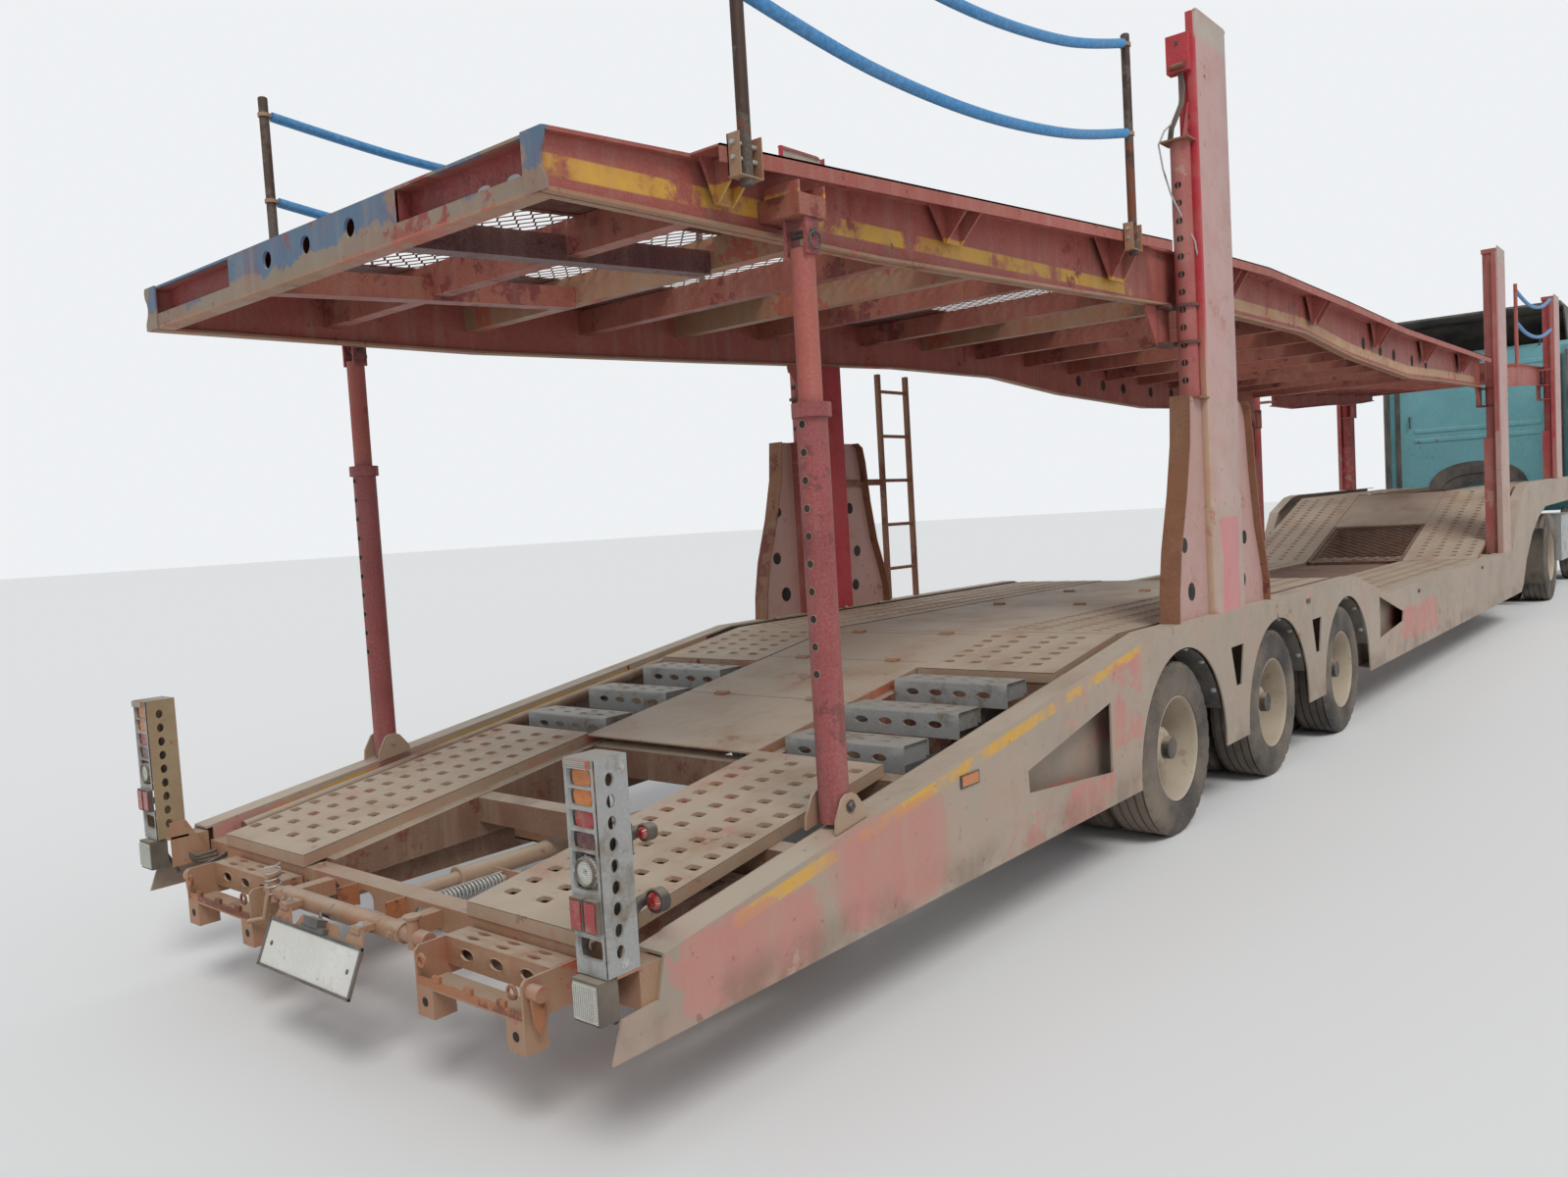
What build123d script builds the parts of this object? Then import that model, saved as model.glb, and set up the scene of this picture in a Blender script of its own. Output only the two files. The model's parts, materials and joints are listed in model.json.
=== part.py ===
from build123d import *
import math
import os

os.makedirs("parts", exist_ok=True)

# A car transporter: a two-deck trailer on three twin-tyred axles, coupled to a two-axle cab-over
# tractor. X points forward, Y to the left and Z up. The origin is on the ground at mid-length.
# Stations are millimetres ahead of the trailer's rear end, heights are above the ground.

# Driving dimensions
length = 20000.0            # number plate to front bumper
plate_overhang = 90.0       # number plate behind the side panels' rear end
half_width = 1250.0         # centre plane to the side panels' outer faces
gap = 0.4                   # seats between separate pieces
run_clearance = 0.06        # radial, spindles and pins in their bores
slide_clearance = 0.6       # radial, telescoping and sliding tubes

rear_end = -length / 2 + plate_overhang


def at(station):
    """Frame X of a station."""
    return rear_end + station


# Trailer deck line: (station, height of the deck's top)
deck_line = (
    (180, 505),
    (3060, 940),
    (6250, 940),
    (7000, 750),
    (11100, 750),
    (13240, 1400),
    (16900, 1440),
)
deck_sheet = 6.0
track_lip = 40.0
track_inner = 400.0
rear_track_outer = 975.0
track_outer = 1094.0
panel_skin = 8.0
flange_width = 95.0
flange_sheet = 8.0
panel_bottom = 310.0
neck_front = 16900.0
neck_bottom = 1160.0

# Trailer running gear
trailer_axle = 3400.0
axle_spacing = 1310.0
trailer_axles = [trailer_axle + i * axle_spacing for i in range(3)]
trailer_tyre_r = 388.0
trailer_tyre_w = 226.0
twin_spacing = 252.0
twin_outer_y = 1106.0
trailer_rim_r = 236.0
trailer_spindle_r = 50.0
arch_r = 500.0
arch_centre_z = 340.0

# Loading deck over the trailer
upper_line = (
    (110, 2446),
    (3500, 2650),
    (4900, 2700),
    (6400, 2682),
    (8000, 2648),
    (11600, 2660),
)
upper_bottom = (
    (110, 2298),
    (1450, 2312),
    (2870, 2365),
    (4660, 2440),
    (5900, 2450),
    (6950, 2375),
    (8600, 2325),
    (9700, 2360),
    (11600, 2400),
)
beam_outer = 1100.0
beam_flange = 56.0
beam_web = 8.0
head_line = ((12180, 2690), (14400, 2800), (16600, 2880))
head_bottom = ((12180, 2470), (13000, 2470), (14400, 2560), (15900, 2640), (16600, 2700))

# Posts
post_x = 3820.0             # main post's column
post_top = 3740.0
column_r = 60.0
column_y = 1172.0
front_post_x = 11660.0
head_post_x = 15560.0
prop_station = 935.0
prop_y = 1180.0
prop_outer_r = 45.0
prop_inner_r = 35.0
prop_foot_z = 641.0
prop_collar_z = 1832.0
prop_overlap_z = 1010.0
guard_stations = (660.0, 3080.0)
guard_r = 18.0
guard_y = 1230.0
guard_height = 790.0
head_guards = (12750.0, 15300.0)

# Tractor
king_station = 15700.0
king_r = 25.4
drive_station = 15100.0
steer_station = 18650.0
tyre_r = 520.0
tyre_w = 290.0
tyre_rim_r = 288.0
drive_outer_y = 1073.0
drive_twin = 330.0
steer_y = 1068.0
steer_pivot_y = 900.0
spindle_r = 48.0
rail_outer = 430.0
rail_width = 80.0
rail_top = 1000.0
rail_bottom = 730.0
cab_back = 17850.0
cab_half = 1150.0
cab_wall = 45.0
cab_front = 19910.0
cab_roof = 3360.0
cab_hinge = (19790.0, 1000.0)


def height_on(line, station):
    """Height of a polyline at a station."""
    for (s0, z0), (s1, z1) in zip(line, line[1:]):
        if s0 <= station <= s1:
            return z0 + (z1 - z0) * (station - s0) / (s1 - s0)
    return line[0][1] if station < line[0][0] else line[-1][1]


def stretch(line, start, end, drop=0.0):
    """The part of a polyline between two stations, lowered by drop, in frame coordinates."""
    stations = [start] + [s for s, z in line if start < s < end] + [end]
    return [(at(s), height_on(line, s) - drop) for s in stations]


def side_plate(points, y0, y1, mode=Mode.ADD):
    """A side-view outline made solid between y0 and y1, y0 the smaller."""
    with BuildSketch(Plane.XZ.offset(-y1)) as outline:
        with BuildLine():
            Polyline(*points, close=True)
        make_face()
    extrude(outline.sketch, amount=y1 - y0, mode=mode)


def cross_plate(points, x0, x1, mode=Mode.ADD):
    """A rear-view outline of (y, z) points made solid from x0 to x1."""
    with BuildSketch(Plane.YZ.offset(x0)) as outline:
        with BuildLine():
            Polyline(*points, close=True)
        make_face()
    extrude(outline.sketch, amount=x1 - x0, mode=mode)


def flat_plate(points, z0, z1, mode=Mode.ADD):
    """A plan outline of (x, y) points made solid from z0 to z1."""
    with BuildSketch(Plane.XY.offset(z0)) as outline:
        with BuildLine():
            Polyline(*points, close=True)
        make_face()
    extrude(outline.sketch, amount=z1 - z0, mode=mode)


def bar(x0, x1, y0, y1, z0, z1, mode=Mode.ADD):
    """A square-edged bar between two corners."""
    with Locations(((x0 + x1) / 2, (y0 + y1) / 2, (z0 + z1) / 2)):
        Box(x1 - x0, y1 - y0, z1 - z0, mode=mode)


def rod(axis, centre, r, low, high, mode=Mode.ADD):
    """A round bar along an axis; centre holds the other two coordinates in X, Y, Z order."""
    if axis == "X":
        plane = Plane(origin=(low, centre[0], centre[1]), x_dir=(0, 1, 0), z_dir=(1, 0, 0))
    elif axis == "Y":
        plane = Plane(origin=(centre[0], low, centre[1]), x_dir=(1, 0, 0), z_dir=(0, 1, 0))
    else:
        plane = Plane(origin=(centre[0], centre[1], low), x_dir=(1, 0, 0), z_dir=(0, 0, 1))
    with BuildSketch(plane) as circle:
        Circle(r)
    extrude(circle.sketch, amount=high - low, mode=mode)


def ribbon(line, start, end, thick, y0, y1, drop=0.0, mode=Mode.ADD):
    """A plate of even thickness that follows a polyline between two stations."""
    top = stretch(line, start, end, drop)
    bottom = [(x, z - thick) for x, z in reversed(top)]
    side_plate(top + bottom, y0, y1, mode)


def turned(outline, centre_x, centre_z, side):
    """Revolve a closed outline of (y, radius) points round a wheel's axis; side is -1 or 1."""
    plane = Plane(origin=(centre_x, 0, centre_z), x_dir=(0, side, 0), z_dir=(side, 0, 0))
    with BuildSketch(plane) as half:
        with BuildLine():
            Polyline(*outline, close=True)
        make_face()
    revolve(half.sketch, axis=Axis((centre_x, 0, centre_z), (0, 1, 0)))


def finish(part, name):
    part.label = name
    export_step(part, f"parts/{name}.step")


# Side panels: skin, top flange and inner skin of each side member
panel_top = (
    (175, 514),
    (3058, 948),
    (6230, 948),
    (7000, 775),
    (12100, 775),
    (12530, 1260),
    (13060, 1420),
    (13300, 1445),
    (16900, 1475),
)
panel_outline = (
    [(at(0), panel_bottom), (at(36), 405), (at(149), 410)]
    + [(at(s), z) for s, z in panel_top]
    + [(at(s), z) for s, z in (
        (16900, 1180), (14400, 1150), (13840, 1040), (13390, 880), (12950, 620), (12720, 385),
        (12580, panel_bottom))]
)
panel_windows = (
    ((1954, 504), (1948, 585), (2632, 719), (2625, 440)),
    ((3990, 770), (4170, 770), (4120, 575), (4050, 575)),
    ((5300, 770), (5480, 770), (5430, 575), (5360, 575)),
    ((6791, 489), (6798, 770), (7448, 609), (7425, 541)),
)


def side_panel(side):
    """Add one side member; side is -1 on the right and 1 on the left."""
    def span(inner, outer):
        return (inner, outer) if side > 0 else (-outer, -inner)
    side_plate(panel_outline, *span(half_width - panel_skin, half_width))
    ribbon(panel_top, 175, neck_front, flange_sheet,
           *span(half_width - flange_width, half_width - panel_skin))
    for start, end in ((200, 2860), (6560, 12560)):
        inner = half_width - flange_width
        top = stretch(panel_top, start, end, flange_sheet)
        floor = [(at(end), panel_bottom + 20), (at(start), panel_bottom + 20)]
        side_plate(top + floor, *span(inner, inner + panel_skin))
        ribbon(((start, panel_bottom + 20), (end, panel_bottom + 20)), start, end, 8.0,
               *span(inner, half_width - panel_skin))
    for axle in trailer_axles:
        rod("Y", (at(axle), arch_centre_z), arch_r, *span(half_width - 150, half_width + 10),
            mode=Mode.SUBTRACT)
    for window in panel_windows:
        side_plate([(at(s), z) for s, z in window],
                   *span(half_width - 20, half_width + 10), mode=Mode.SUBTRACT)


with BuildPart() as side_panels:
    side_panel(-1)
    mirror(about=Plane.XZ)
finish(side_panels.part, "side_panels")

# Chassis frame: two main beams, cross members, the gooseneck's coupling plate and the kingpin
beam_inner = track_inner
beam_width = 90.0
frame_bottom = (
    (200, 395), (2600, 480), (2950, 610), (6500, 610), (6950, 340), (12400, 340), (13300, 900),
    (14200, neck_bottom), (neck_front, neck_bottom),
)
cross_members = (
    # station, depth, length along the trailer
    (860, 90, 60), (1425, 110, 60), (2505, 110, 60), (2940, 110, 60), (4055, 120, 80),
    (5365, 120, 80), (6640, 130, 80), (7700, 160, 80), (8900, 160, 80), (10100, 160, 80), (11300, 160, 80),
    (12250, 300, 100), (13240, 200, 100), (14500, 180, 100), (king_station, 180, 100),
    (16780, 180, 100),
)
tube_r = 28.0
tube_y = 1123.0
ramp_inner = 465.0
ramp_outer = 930.0
ramp_floor = 330.0
ramp_runners = (
    # inner and outer distance from the centre plane, lower and upper height
    (ramp_inner - 10, ramp_inner - gap, ramp_floor - 10, 440),
    (ramp_inner - 10, ramp_inner + 35, ramp_floor - 10, ramp_floor - gap),
    (ramp_outer + gap, ramp_outer + 12, ramp_floor - 10, 476),
    (ramp_outer - 35, ramp_outer + 12, ramp_floor - 10, ramp_floor - gap),
)


with BuildPart() as chassis_frame:
    top = stretch(deck_line, 260, neck_front, track_lip)
    under = [(at(s), z) for s, z in reversed(frame_bottom)]
    under[-1] = (at(260), under[-1][1])
    side_plate(top + under, beam_inner, beam_inner + beam_width)
    side_plate(top + under, -beam_inner - beam_width, -beam_inner)
    for station, depth, thick in cross_members:
        ribbon(deck_line, station - thick / 2, station + thick / 2, depth,
               -(half_width - flange_width), half_width - flange_width, track_lip + 2 + gap)
    slope = math.atan2(deck_line[1][1] - deck_line[0][1], deck_line[1][0] - deck_line[0][0])
    for side in (-1, 1):
        foot = Vector(at(300), side * tube_y, height_on(deck_line, 300) - track_lip)
        along = (math.cos(slope), 0, math.sin(slope))
        with BuildSketch(Plane(origin=foot, z_dir=along)) as ring:
            Circle(tube_r)
        extrude(ring.sketch, amount=2210 / math.cos(slope))
        for y0, y1, z0, z1 in ramp_runners:
            low, high = sorted((side * y0, side * y1))
            bar(at(264), at(1400), low, high, z0, z1)
    bar(at(14300), at(neck_front), -600, 600, neck_bottom - 8, neck_bottom + 4)
    rod("Z", (at(king_station), 0), 36.5, neck_bottom - 24, neck_bottom - 8)
    rod("Z", (at(king_station), 0), king_r, neck_bottom - 84, neck_bottom - 8)
    rod("Z", (at(king_station), 0), 35.7, neck_bottom - 100, neck_bottom - 84)
finish(chassis_frame.part, "chassis_frame")

# Rear crossbeam: carries the rear ends of the tracks, the lamp columns and the number plate
rear_beam = (180.0, 260.0, 390.0, 464.0)    # stations, then heights
with BuildPart() as rear_crossbeam:
    bar(at(rear_beam[0]), at(rear_beam[1]), -(half_width - flange_width),
        half_width - flange_width, rear_beam[2], rear_beam[3])
    bar(at(30), at(90), -330, 330, 400, 460)
    for y in (-300, 300):
        bar(at(90), at(rear_beam[0]), y - 30, y + 30, 400, 460)
finish(rear_crossbeam.part, "rear_crossbeam")

# Track plates: pressed channels for the cars' wheels
with BuildPart() as track_plates:
    for start, end, inner, outer in (
        (180, 1420, track_inner, rear_track_outer),
        (2470, 7000, beam_inner, track_outer),
        (7004, 11100, beam_inner, track_outer),
        (11104, neck_front, beam_inner, track_outer),
    ):
        ribbon(deck_line, start, end, track_lip, -outer, -inner)
        ribbon(deck_line, start, end, track_lip, -outer + deck_sheet, -inner - deck_sheet,
               deck_sheet, mode=Mode.SUBTRACT)
    mirror(about=Plane.XZ)
finish(track_plates.part, "track_plates")

# Centre plates between the tracks
centre_half = track_inner - 4
centre_spans = (
    (1430, 2100), (2110, 2640), (2650, 3450), (3460, 4600), (4610, 5700), (5710, 6990),
    (11110, 12100), (12110, 13230),
)
with BuildPart() as centre_plates:
    for start, end in centre_spans:
        ribbon(deck_line, start, end, track_lip + 2, -centre_half, centre_half)
        ribbon(deck_line, start + 60, end - 60, track_lip, -centre_half + 60, centre_half - 60,
               deck_sheet, mode=Mode.SUBTRACT)
finish(centre_plates.part, "centre_plates")

# Expanded metal floor of the low deck
with BuildPart() as mesh_floor:
    ribbon(deck_line, 7010, 11090, 12, -centre_half, centre_half, track_lip - 10)
finish(mesh_floor.part, "mesh_floor")

# Step modules in the wells beside the rear centre plates
well_start = 1460.0
module_pitch = 340.0
module_length = 325.0
module_depth = 110.0
well_inner = beam_inner + beam_width + gap
well_outer = 1086.0
with BuildPart() as step_modules:
    for i in range(3):
        start = well_start + i * module_pitch
        crown = height_on(deck_line, start) + 18
        bar(at(start), at(start + module_length), -well_outer, -well_inner,
            crown - module_depth, crown)
    mirror(about=Plane.XZ)
finish(step_modules.part, "step_modules")


# Posts: outer plate, box, round column and base gussets on each side panel
def post(rear, front, foot, foot_z, top_z, column_x, gusset_z):
    """Add the right-hand post: the plate's rear and front stations, foot spread and heights."""
    side_plate([(at(rear), foot_z), (at(front), foot_z), (at(front), top_z),
                (at(rear + 30), top_z)], -half_width, -half_width + panel_skin)
    for edge in (rear, front - panel_skin):
        bar(at(edge), at(edge + panel_skin), -half_width, -half_width + 50, foot_z, top_z - 60)
    bar(at(column_x + column_r + 30), at(front - 40), -half_width + panel_skin,
        -half_width + 118, foot_z, top_z - 120)
    bar(at(column_x - column_r - 12), at(column_x + column_r + 20), -half_width + panel_skin,
        -column_y + column_r + 14, foot_z, gusset_z)
    rod("Z", (at(column_x), -column_y), column_r, gusset_z, top_z - 60)
    bar(at(column_x - column_r - 12), at(front - 40), -half_width + panel_skin,
        -column_y + column_r, top_z - 60, top_z - 20)
    if foot > 0:
        side_plate([(at(rear - foot), foot_z), (at(rear), foot_z), (at(rear), gusset_z),
                    (at(rear - 20), gusset_z)], -half_width, -half_width + panel_skin)
        side_plate([(at(front), foot_z), (at(front + foot * 0.8), foot_z),
                    (at(front + 110), gusset_z), (at(front), gusset_z)],
                   -half_width, -half_width + panel_skin)


with BuildPart() as main_posts:
    post(3720, 4190, 540, 948, post_top, post_x, 1975)
    mirror(about=Plane.XZ)
    for station in (4420, 4760):
        bar(at(station), at(station + 30), half_width - 60, half_width - 30, 955, 2420)
    for i in range(5):
        z = 1150 + i * 290
        bar(at(4450), at(4760), half_width - 56, half_width - 34, z, z + 22)
    bar(at(4190), at(4420), half_width - 60, half_width - 50, 1700, 1740)
finish(main_posts.part, "main_posts")

# Posts at the front of the low deck and on the gooseneck
with BuildPart() as forward_posts:
    post(11560, 12000, 0, 775, post_top, front_post_x, 1900)
    post(15460, 15900, 0, height_on(panel_top, 15900), post_top - 40, head_post_x, 2050)
    mirror(about=Plane.XZ)
finish(forward_posts.part, "forward_posts")

# Rear props: outer sleeves in clevises on the side members
with BuildPart() as prop_sleeves:
    sole = height_on(panel_top, prop_station)
    ribbon(panel_top, prop_station - 90, prop_station + 90, 8, -half_width + panel_skin,
           -prop_y + prop_outer_r + 12, -8 - gap)
    rod("Z", (at(prop_station), -prop_y), prop_outer_r, sole + 10, prop_collar_z)
    rod("Z", (at(prop_station), -prop_y), prop_inner_r + slide_clearance, sole + 60,
        prop_collar_z + 10, mode=Mode.SUBTRACT)
    for y in (-prop_y - prop_outer_r - 10, -prop_y + prop_outer_r - 1):
        side_plate([(at(prop_station - 80), sole - 6), (at(prop_station + 80), sole + 16),
                    (at(prop_station + 45), sole + 95),
                    (at(prop_station - 45), sole + 95)], y, y + 11)
    rod("Y", (at(prop_station), sole + 55), 14, -prop_y - prop_outer_r - 16,
        -prop_y + prop_outer_r + 14)
    mirror(about=Plane.XZ)
finish(prop_sleeves.part, "prop_sleeves")

# Lamp columns: perforated channels at the rear corners, on gusseted feet
lamp_station = 0.0
lamp_outer = 1264.0
lamp_inner = 1162.0
lamp_foot = 508.0
lamp_top = 1005.0
lamp_depth = 100.0
lamp_wall = 5.0
with BuildPart() as lamp_columns:
    x0 = at(lamp_station)
    outer = half_width - 2
    inner = outer - (lamp_outer - lamp_inner)
    bar(x0, x0 + lamp_depth, -outer, -inner, lamp_foot, lamp_top)
    bar(x0 + lamp_wall, x0 + lamp_depth + 1, -outer + lamp_wall, -inner - lamp_wall,
        lamp_foot - 1, lamp_top + 1, mode=Mode.SUBTRACT)
    bar(x0 + 40, x0 + lamp_depth, -outer, -inner, lamp_foot - 8, lamp_foot)
    side_plate([(x0 + 44, 400), (x0 + 176, 400), (x0 + 150, 470), (x0 + lamp_depth, 560),
                (x0 + 44, 560)], -inner - 6, -inner)
    side_plate([(x0 + 150, 400), (x0 + 179.6, 400), (x0 + 179.6, 455), (x0 + 150, 455)],
               -outer + 10, -inner)
    mirror(about=Plane.XZ)
finish(lamp_columns.part, "lamp_columns")

# Lamps: round ones behind the columns' windows, reflectors, reversing lamps and side markers
lamp_y = outer - (lamp_outer - lamp_inner) / 2
lamp_heights = (940, 845, 750)
with BuildPart() as rear_lamps:
    for z in lamp_heights:
        rod("X", (-lamp_y, z), 40, at(lamp_station) + lamp_wall + gap, at(45))
    bar(at(-14), at(-gap), -lamp_y - 38, -lamp_y + 38, 620, 690)
    bar(at(lamp_station - 24), at(lamp_station + 39), -lamp_y - 44, -lamp_y + 48, 404,
        lamp_foot - gap)
    bar(at(1500), at(1615), -half_width - 6, -half_width - gap, 617, 660)
    mirror(about=Plane.XZ)
finish(rear_lamps.part, "rear_lamps")

# Number plate: blank, tilted, on the rear crossbeam
with BuildPart() as number_plate:
    side_plate([(at(-plate_overhang), 268), (at(-plate_overhang + 5), 265), (at(-30), 398),
                (at(-36), 401)], -260, 260)
    side_plate([(at(-70), 320), (at(-30), 398), (at(29.6), 440), (at(29.6), 404)], -240, -232)
    side_plate([(at(-70), 320), (at(-30), 398), (at(29.6), 440), (at(29.6), 404)], 232, 240)
finish(number_plate.part, "number_plate")

# Trailer axles: tubes, spindles, trailing arms and air springs under the main beams
with BuildPart() as axles:
    for axle in trailer_axles:
        x = at(axle)
        rod("Y", (x, trailer_tyre_r), 62, -700, 700)
        rod("Y", (x, trailer_tyre_r), trailer_spindle_r, -1180, 1180)
        for side in (-1, 1):
            y = side * (beam_inner + beam_width / 2)
            side_plate([(x - 420, 560), (x - 380, 610), (x - 330, 610), (x + 60, 400),
                        (x + 60, 350), (x - 60, 350), (x - 420, 520)], y - 30, y + 30)
            rod("Z", (x + 200, y), 90, 400, 610)
            bar(x + 40, x + 290, y - 30, y + 30, 360, 400)
finish(axles.part, "trailer_axles")


def twin_wheel(name, x, z, side, outer_y, spacing, r, w, rim_r, hub_r):
    """A pair of tyres and their rims on one hub."""
    with BuildPart() as wheel:
        for centre in (outer_y, outer_y - spacing):
            low = centre - w / 2
            high = centre + w / 2
            turned([(low + 14, rim_r), (low, rim_r + 50), (low, r - 30), (low + 22, r),
                    (high - 22, r), (high, r - 30), (high, rim_r + 50), (high - 14, rim_r)],
                   x, z, side)
        middle = outer_y - spacing / 2
        flange = rim_r + 12
        wall = 14
        out = outer_y + w / 2 - 18
        inn = outer_y - spacing - w / 2 + 18
        seat = rim_r - gap
        turned([(out, seat), (out, seat - wall), (middle + 10, seat - wall - 10),
                (middle + 10, hub_r + 60), (out - 70, hub_r + 40), (out - 60, hub_r),
                (inn + 60, hub_r), (inn + 60, hub_r + 40), (middle - 10, hub_r + 60),
                (middle - 10, seat - wall - 10), (inn, seat - wall), (inn, seat)],
               x, z, side)
    finish(wheel.part, name)


def single_wheel(name, x, z, side, centre, r, w, rim_r, hub_r, inner_y):
    """One tyre and its rim."""
    with BuildPart() as wheel:
        low = centre - w / 2
        high = centre + w / 2
        turned([(low + 14, rim_r), (low, rim_r + 50), (low, r - 30), (low + 22, r),
                (high - 22, r), (high, r - 30), (high, rim_r + 50), (high - 14, rim_r)],
               x, z, side)
        seat = rim_r - gap
        wall = 14
        turned([(high - 18, seat), (high - 18, seat - wall), (inner_y + 20, seat - wall - 20),
                (high - 60, hub_r + 60), (high - 10, hub_r + 50), (high - 10, hub_r),
                (inner_y, hub_r), (inner_y, hub_r + 60), (inner_y + 30, seat - wall - 60),
                (low + 18, seat - wall), (low + 18, seat)],
               x, z, side)
    finish(wheel.part, name)


sides = (("right", -1), ("left", 1))
for number, axle in enumerate(trailer_axles, start=1):
    for hand, side in sides:
        twin_wheel(f"trailer_wheels_{number}_{hand}", at(axle), trailer_tyre_r, side,
                   twin_outer_y, twin_spacing, trailer_tyre_r, trailer_tyre_w, trailer_rim_r,
                   trailer_spindle_r + run_clearance)

# Landing legs, raised, under the gooseneck
leg_top = height_on(deck_line, 13190) - track_lip - 2 - 200 - 2 * gap
with BuildPart() as landing_legs:
    for y in (-700, 700):
        bar(at(13190), at(13290), y - 60, y + 60, 330, leg_top)
        bar(at(13200), at(13280), y - 50, y + 50, 260, 330)
        bar(at(13130), at(13350), y - 110, y + 110, 245, 260)
    bar(at(13220), at(13260), -640, 640, 780, 820)
finish(landing_legs.part, "landing_legs")

# Pull-out ramps under the rear tracks
ramp_length = 1350.0
ramp_spans = (("right", -ramp_outer, -ramp_inner), ("left", ramp_inner, ramp_outer))
for hand, y0, y1 in ramp_spans:
    with BuildPart() as ramp:
        bar(at(0), at(8), y0, y1, 290, 385)
        bar(at(0), at(ramp_length), y0, y0 + 8, 330, 385)
        bar(at(0), at(ramp_length), y1 - 8, y1, 330, 385)
        bar(at(0), at(ramp_length), y0 + 8, y1 - 8, 360, 366)
        bar(at(ramp_length - 8), at(ramp_length), y0, y1, 330, 385)
        for y in (y0, y1 - 50):
            bar(at(0), at(50), y, y + 50, 250, 330)
    finish(ramp.part, f"ramp_{hand}")

# Upper deck: two side beams with cross members between them
upper_members = (110, 760, 1400, 2040, 2680, 3320, 4300, 5000, 5700, 6400, 7100, 7800, 8500,
                 9200, 9900, 10600, 11530)


def deck_beam(line, under, start, end):
    """Add the right-hand side beam of a deck: web, top and bottom flanges."""
    top = stretch(line, start, end)
    low = [(x, z) for x, z in reversed(stretch(under, start, end))]
    middle = beam_outer - beam_flange / 2
    side_plate(top + low, -middle - beam_web / 2, -middle + beam_web / 2)
    ribbon(line, start, end, 10, -beam_outer, -beam_outer + beam_flange)
    flange = [(s, z + 10) for s, z in under]
    ribbon(flange, start, end, 10, -beam_outer, -beam_outer + beam_flange)


with BuildPart() as upper_deck_frame:
    deck_beam(upper_line, upper_bottom, 110, 11600)
    mirror(about=Plane.XZ)
    for station in upper_members:
        low = height_on(upper_bottom, station) + 10
        high = min(height_on(upper_line, s) for s in (station, station + 60)) - 10 - gap
        depth = min(110, high - low)
        bar(at(station), at(station + 60), -beam_outer + 30, beam_outer - 30,
            high - depth, high)
    for column_x in (post_x, front_post_x):
        base = height_on(upper_bottom, column_x)
        for z in (base - 190, base - 20):
            for side in (-1, 1):
                y = side * column_y
                low, high = sorted((side * (beam_outer - beam_flange), side * 1236))
                bar(at(column_x - 84), at(column_x + 74), low, high, z, z + 14)
                rod("Z", (at(column_x), y), column_r + slide_clearance, z - 1, z + 15,
                    mode=Mode.SUBTRACT)
        for side in (-1, 1):
            low, high = sorted((side * (beam_outer - beam_flange), side * (beam_outer - 30)))
            bar(at(column_x - 84), at(column_x + 74), low, high, base - 190, base + 12)
    for side in (-1, 1):
        low, high = sorted((side * (beam_outer - 30), side * 1215))
        bar(at(prop_station - 60), at(prop_station + 60), low, high, 2340, 2400)
finish(upper_deck_frame.part, "upper_deck_frame")

# Walkway wings outside the beams, on outriggers
wing_outer = 1246.0
wing_spans = ((590, 3560), (4300, 11400))
with BuildPart() as upper_deck_wings:
    for start, end in wing_spans:
        ribbon(upper_line, start, end, 6, -wing_outer, -beam_outer - gap)
        ribbon(upper_line, start, end, 40, -wing_outer, -wing_outer + 6)
    mirror(about=Plane.XZ)
finish(upper_deck_wings.part, "upper_deck_wings")

# Upper deck floor: perforated side strips and expanded metal between them
with BuildPart() as upper_deck_mesh:
    ribbon(upper_line, 180, 11500, 10, -(beam_outer - beam_flange) + gap,
           beam_outer - beam_flange - gap, 0)
finish(upper_deck_mesh.part, "upper_deck_mesh")

# Guard ropes: height along each rope, as (share of the span, height) points
rope_r = 19.0
eye = 10.0
head_rope_lift = 240.0
rope_routes = {
    "high": ((0.00, 3200), (0.16, 3162), (0.34, 3140), (0.52, 3156), (0.70, 3205), (0.86, 3275),
             (1.00, 3370)),
    "low": ((0.00, 2870), (0.16, 2823), (0.34, 2810), (0.52, 2824), (0.70, 2868), (0.86, 2930),
            (1.00, 3010)),
}

# Guard posts on the wings' edges
with BuildPart() as guard_posts:
    for station, inward in zip(guard_stations, (1, -1)):
        z = height_on(upper_line, station + guard_r)
        rod("Z", (at(station), -guard_y), guard_r, z + gap, z + guard_height)
        for points in rope_routes.values():
            height = points[0][1] if inward > 0 else points[-1][1]
            low, high = sorted((at(station), at(station) + inward * (guard_r + eye)))
            rod("X", (-guard_y, height), 8, low, high)
    mirror(about=Plane.XZ)
finish(guard_posts.part, "guard_posts")

# Props' inner tubes, hung from the deck
with BuildPart() as prop_tubes:
    rod("Z", (at(prop_station), -prop_y), prop_inner_r, prop_overlap_z, 2340)
    mirror(about=Plane.XZ)
finish(prop_tubes.part, "prop_tubes")

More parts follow.
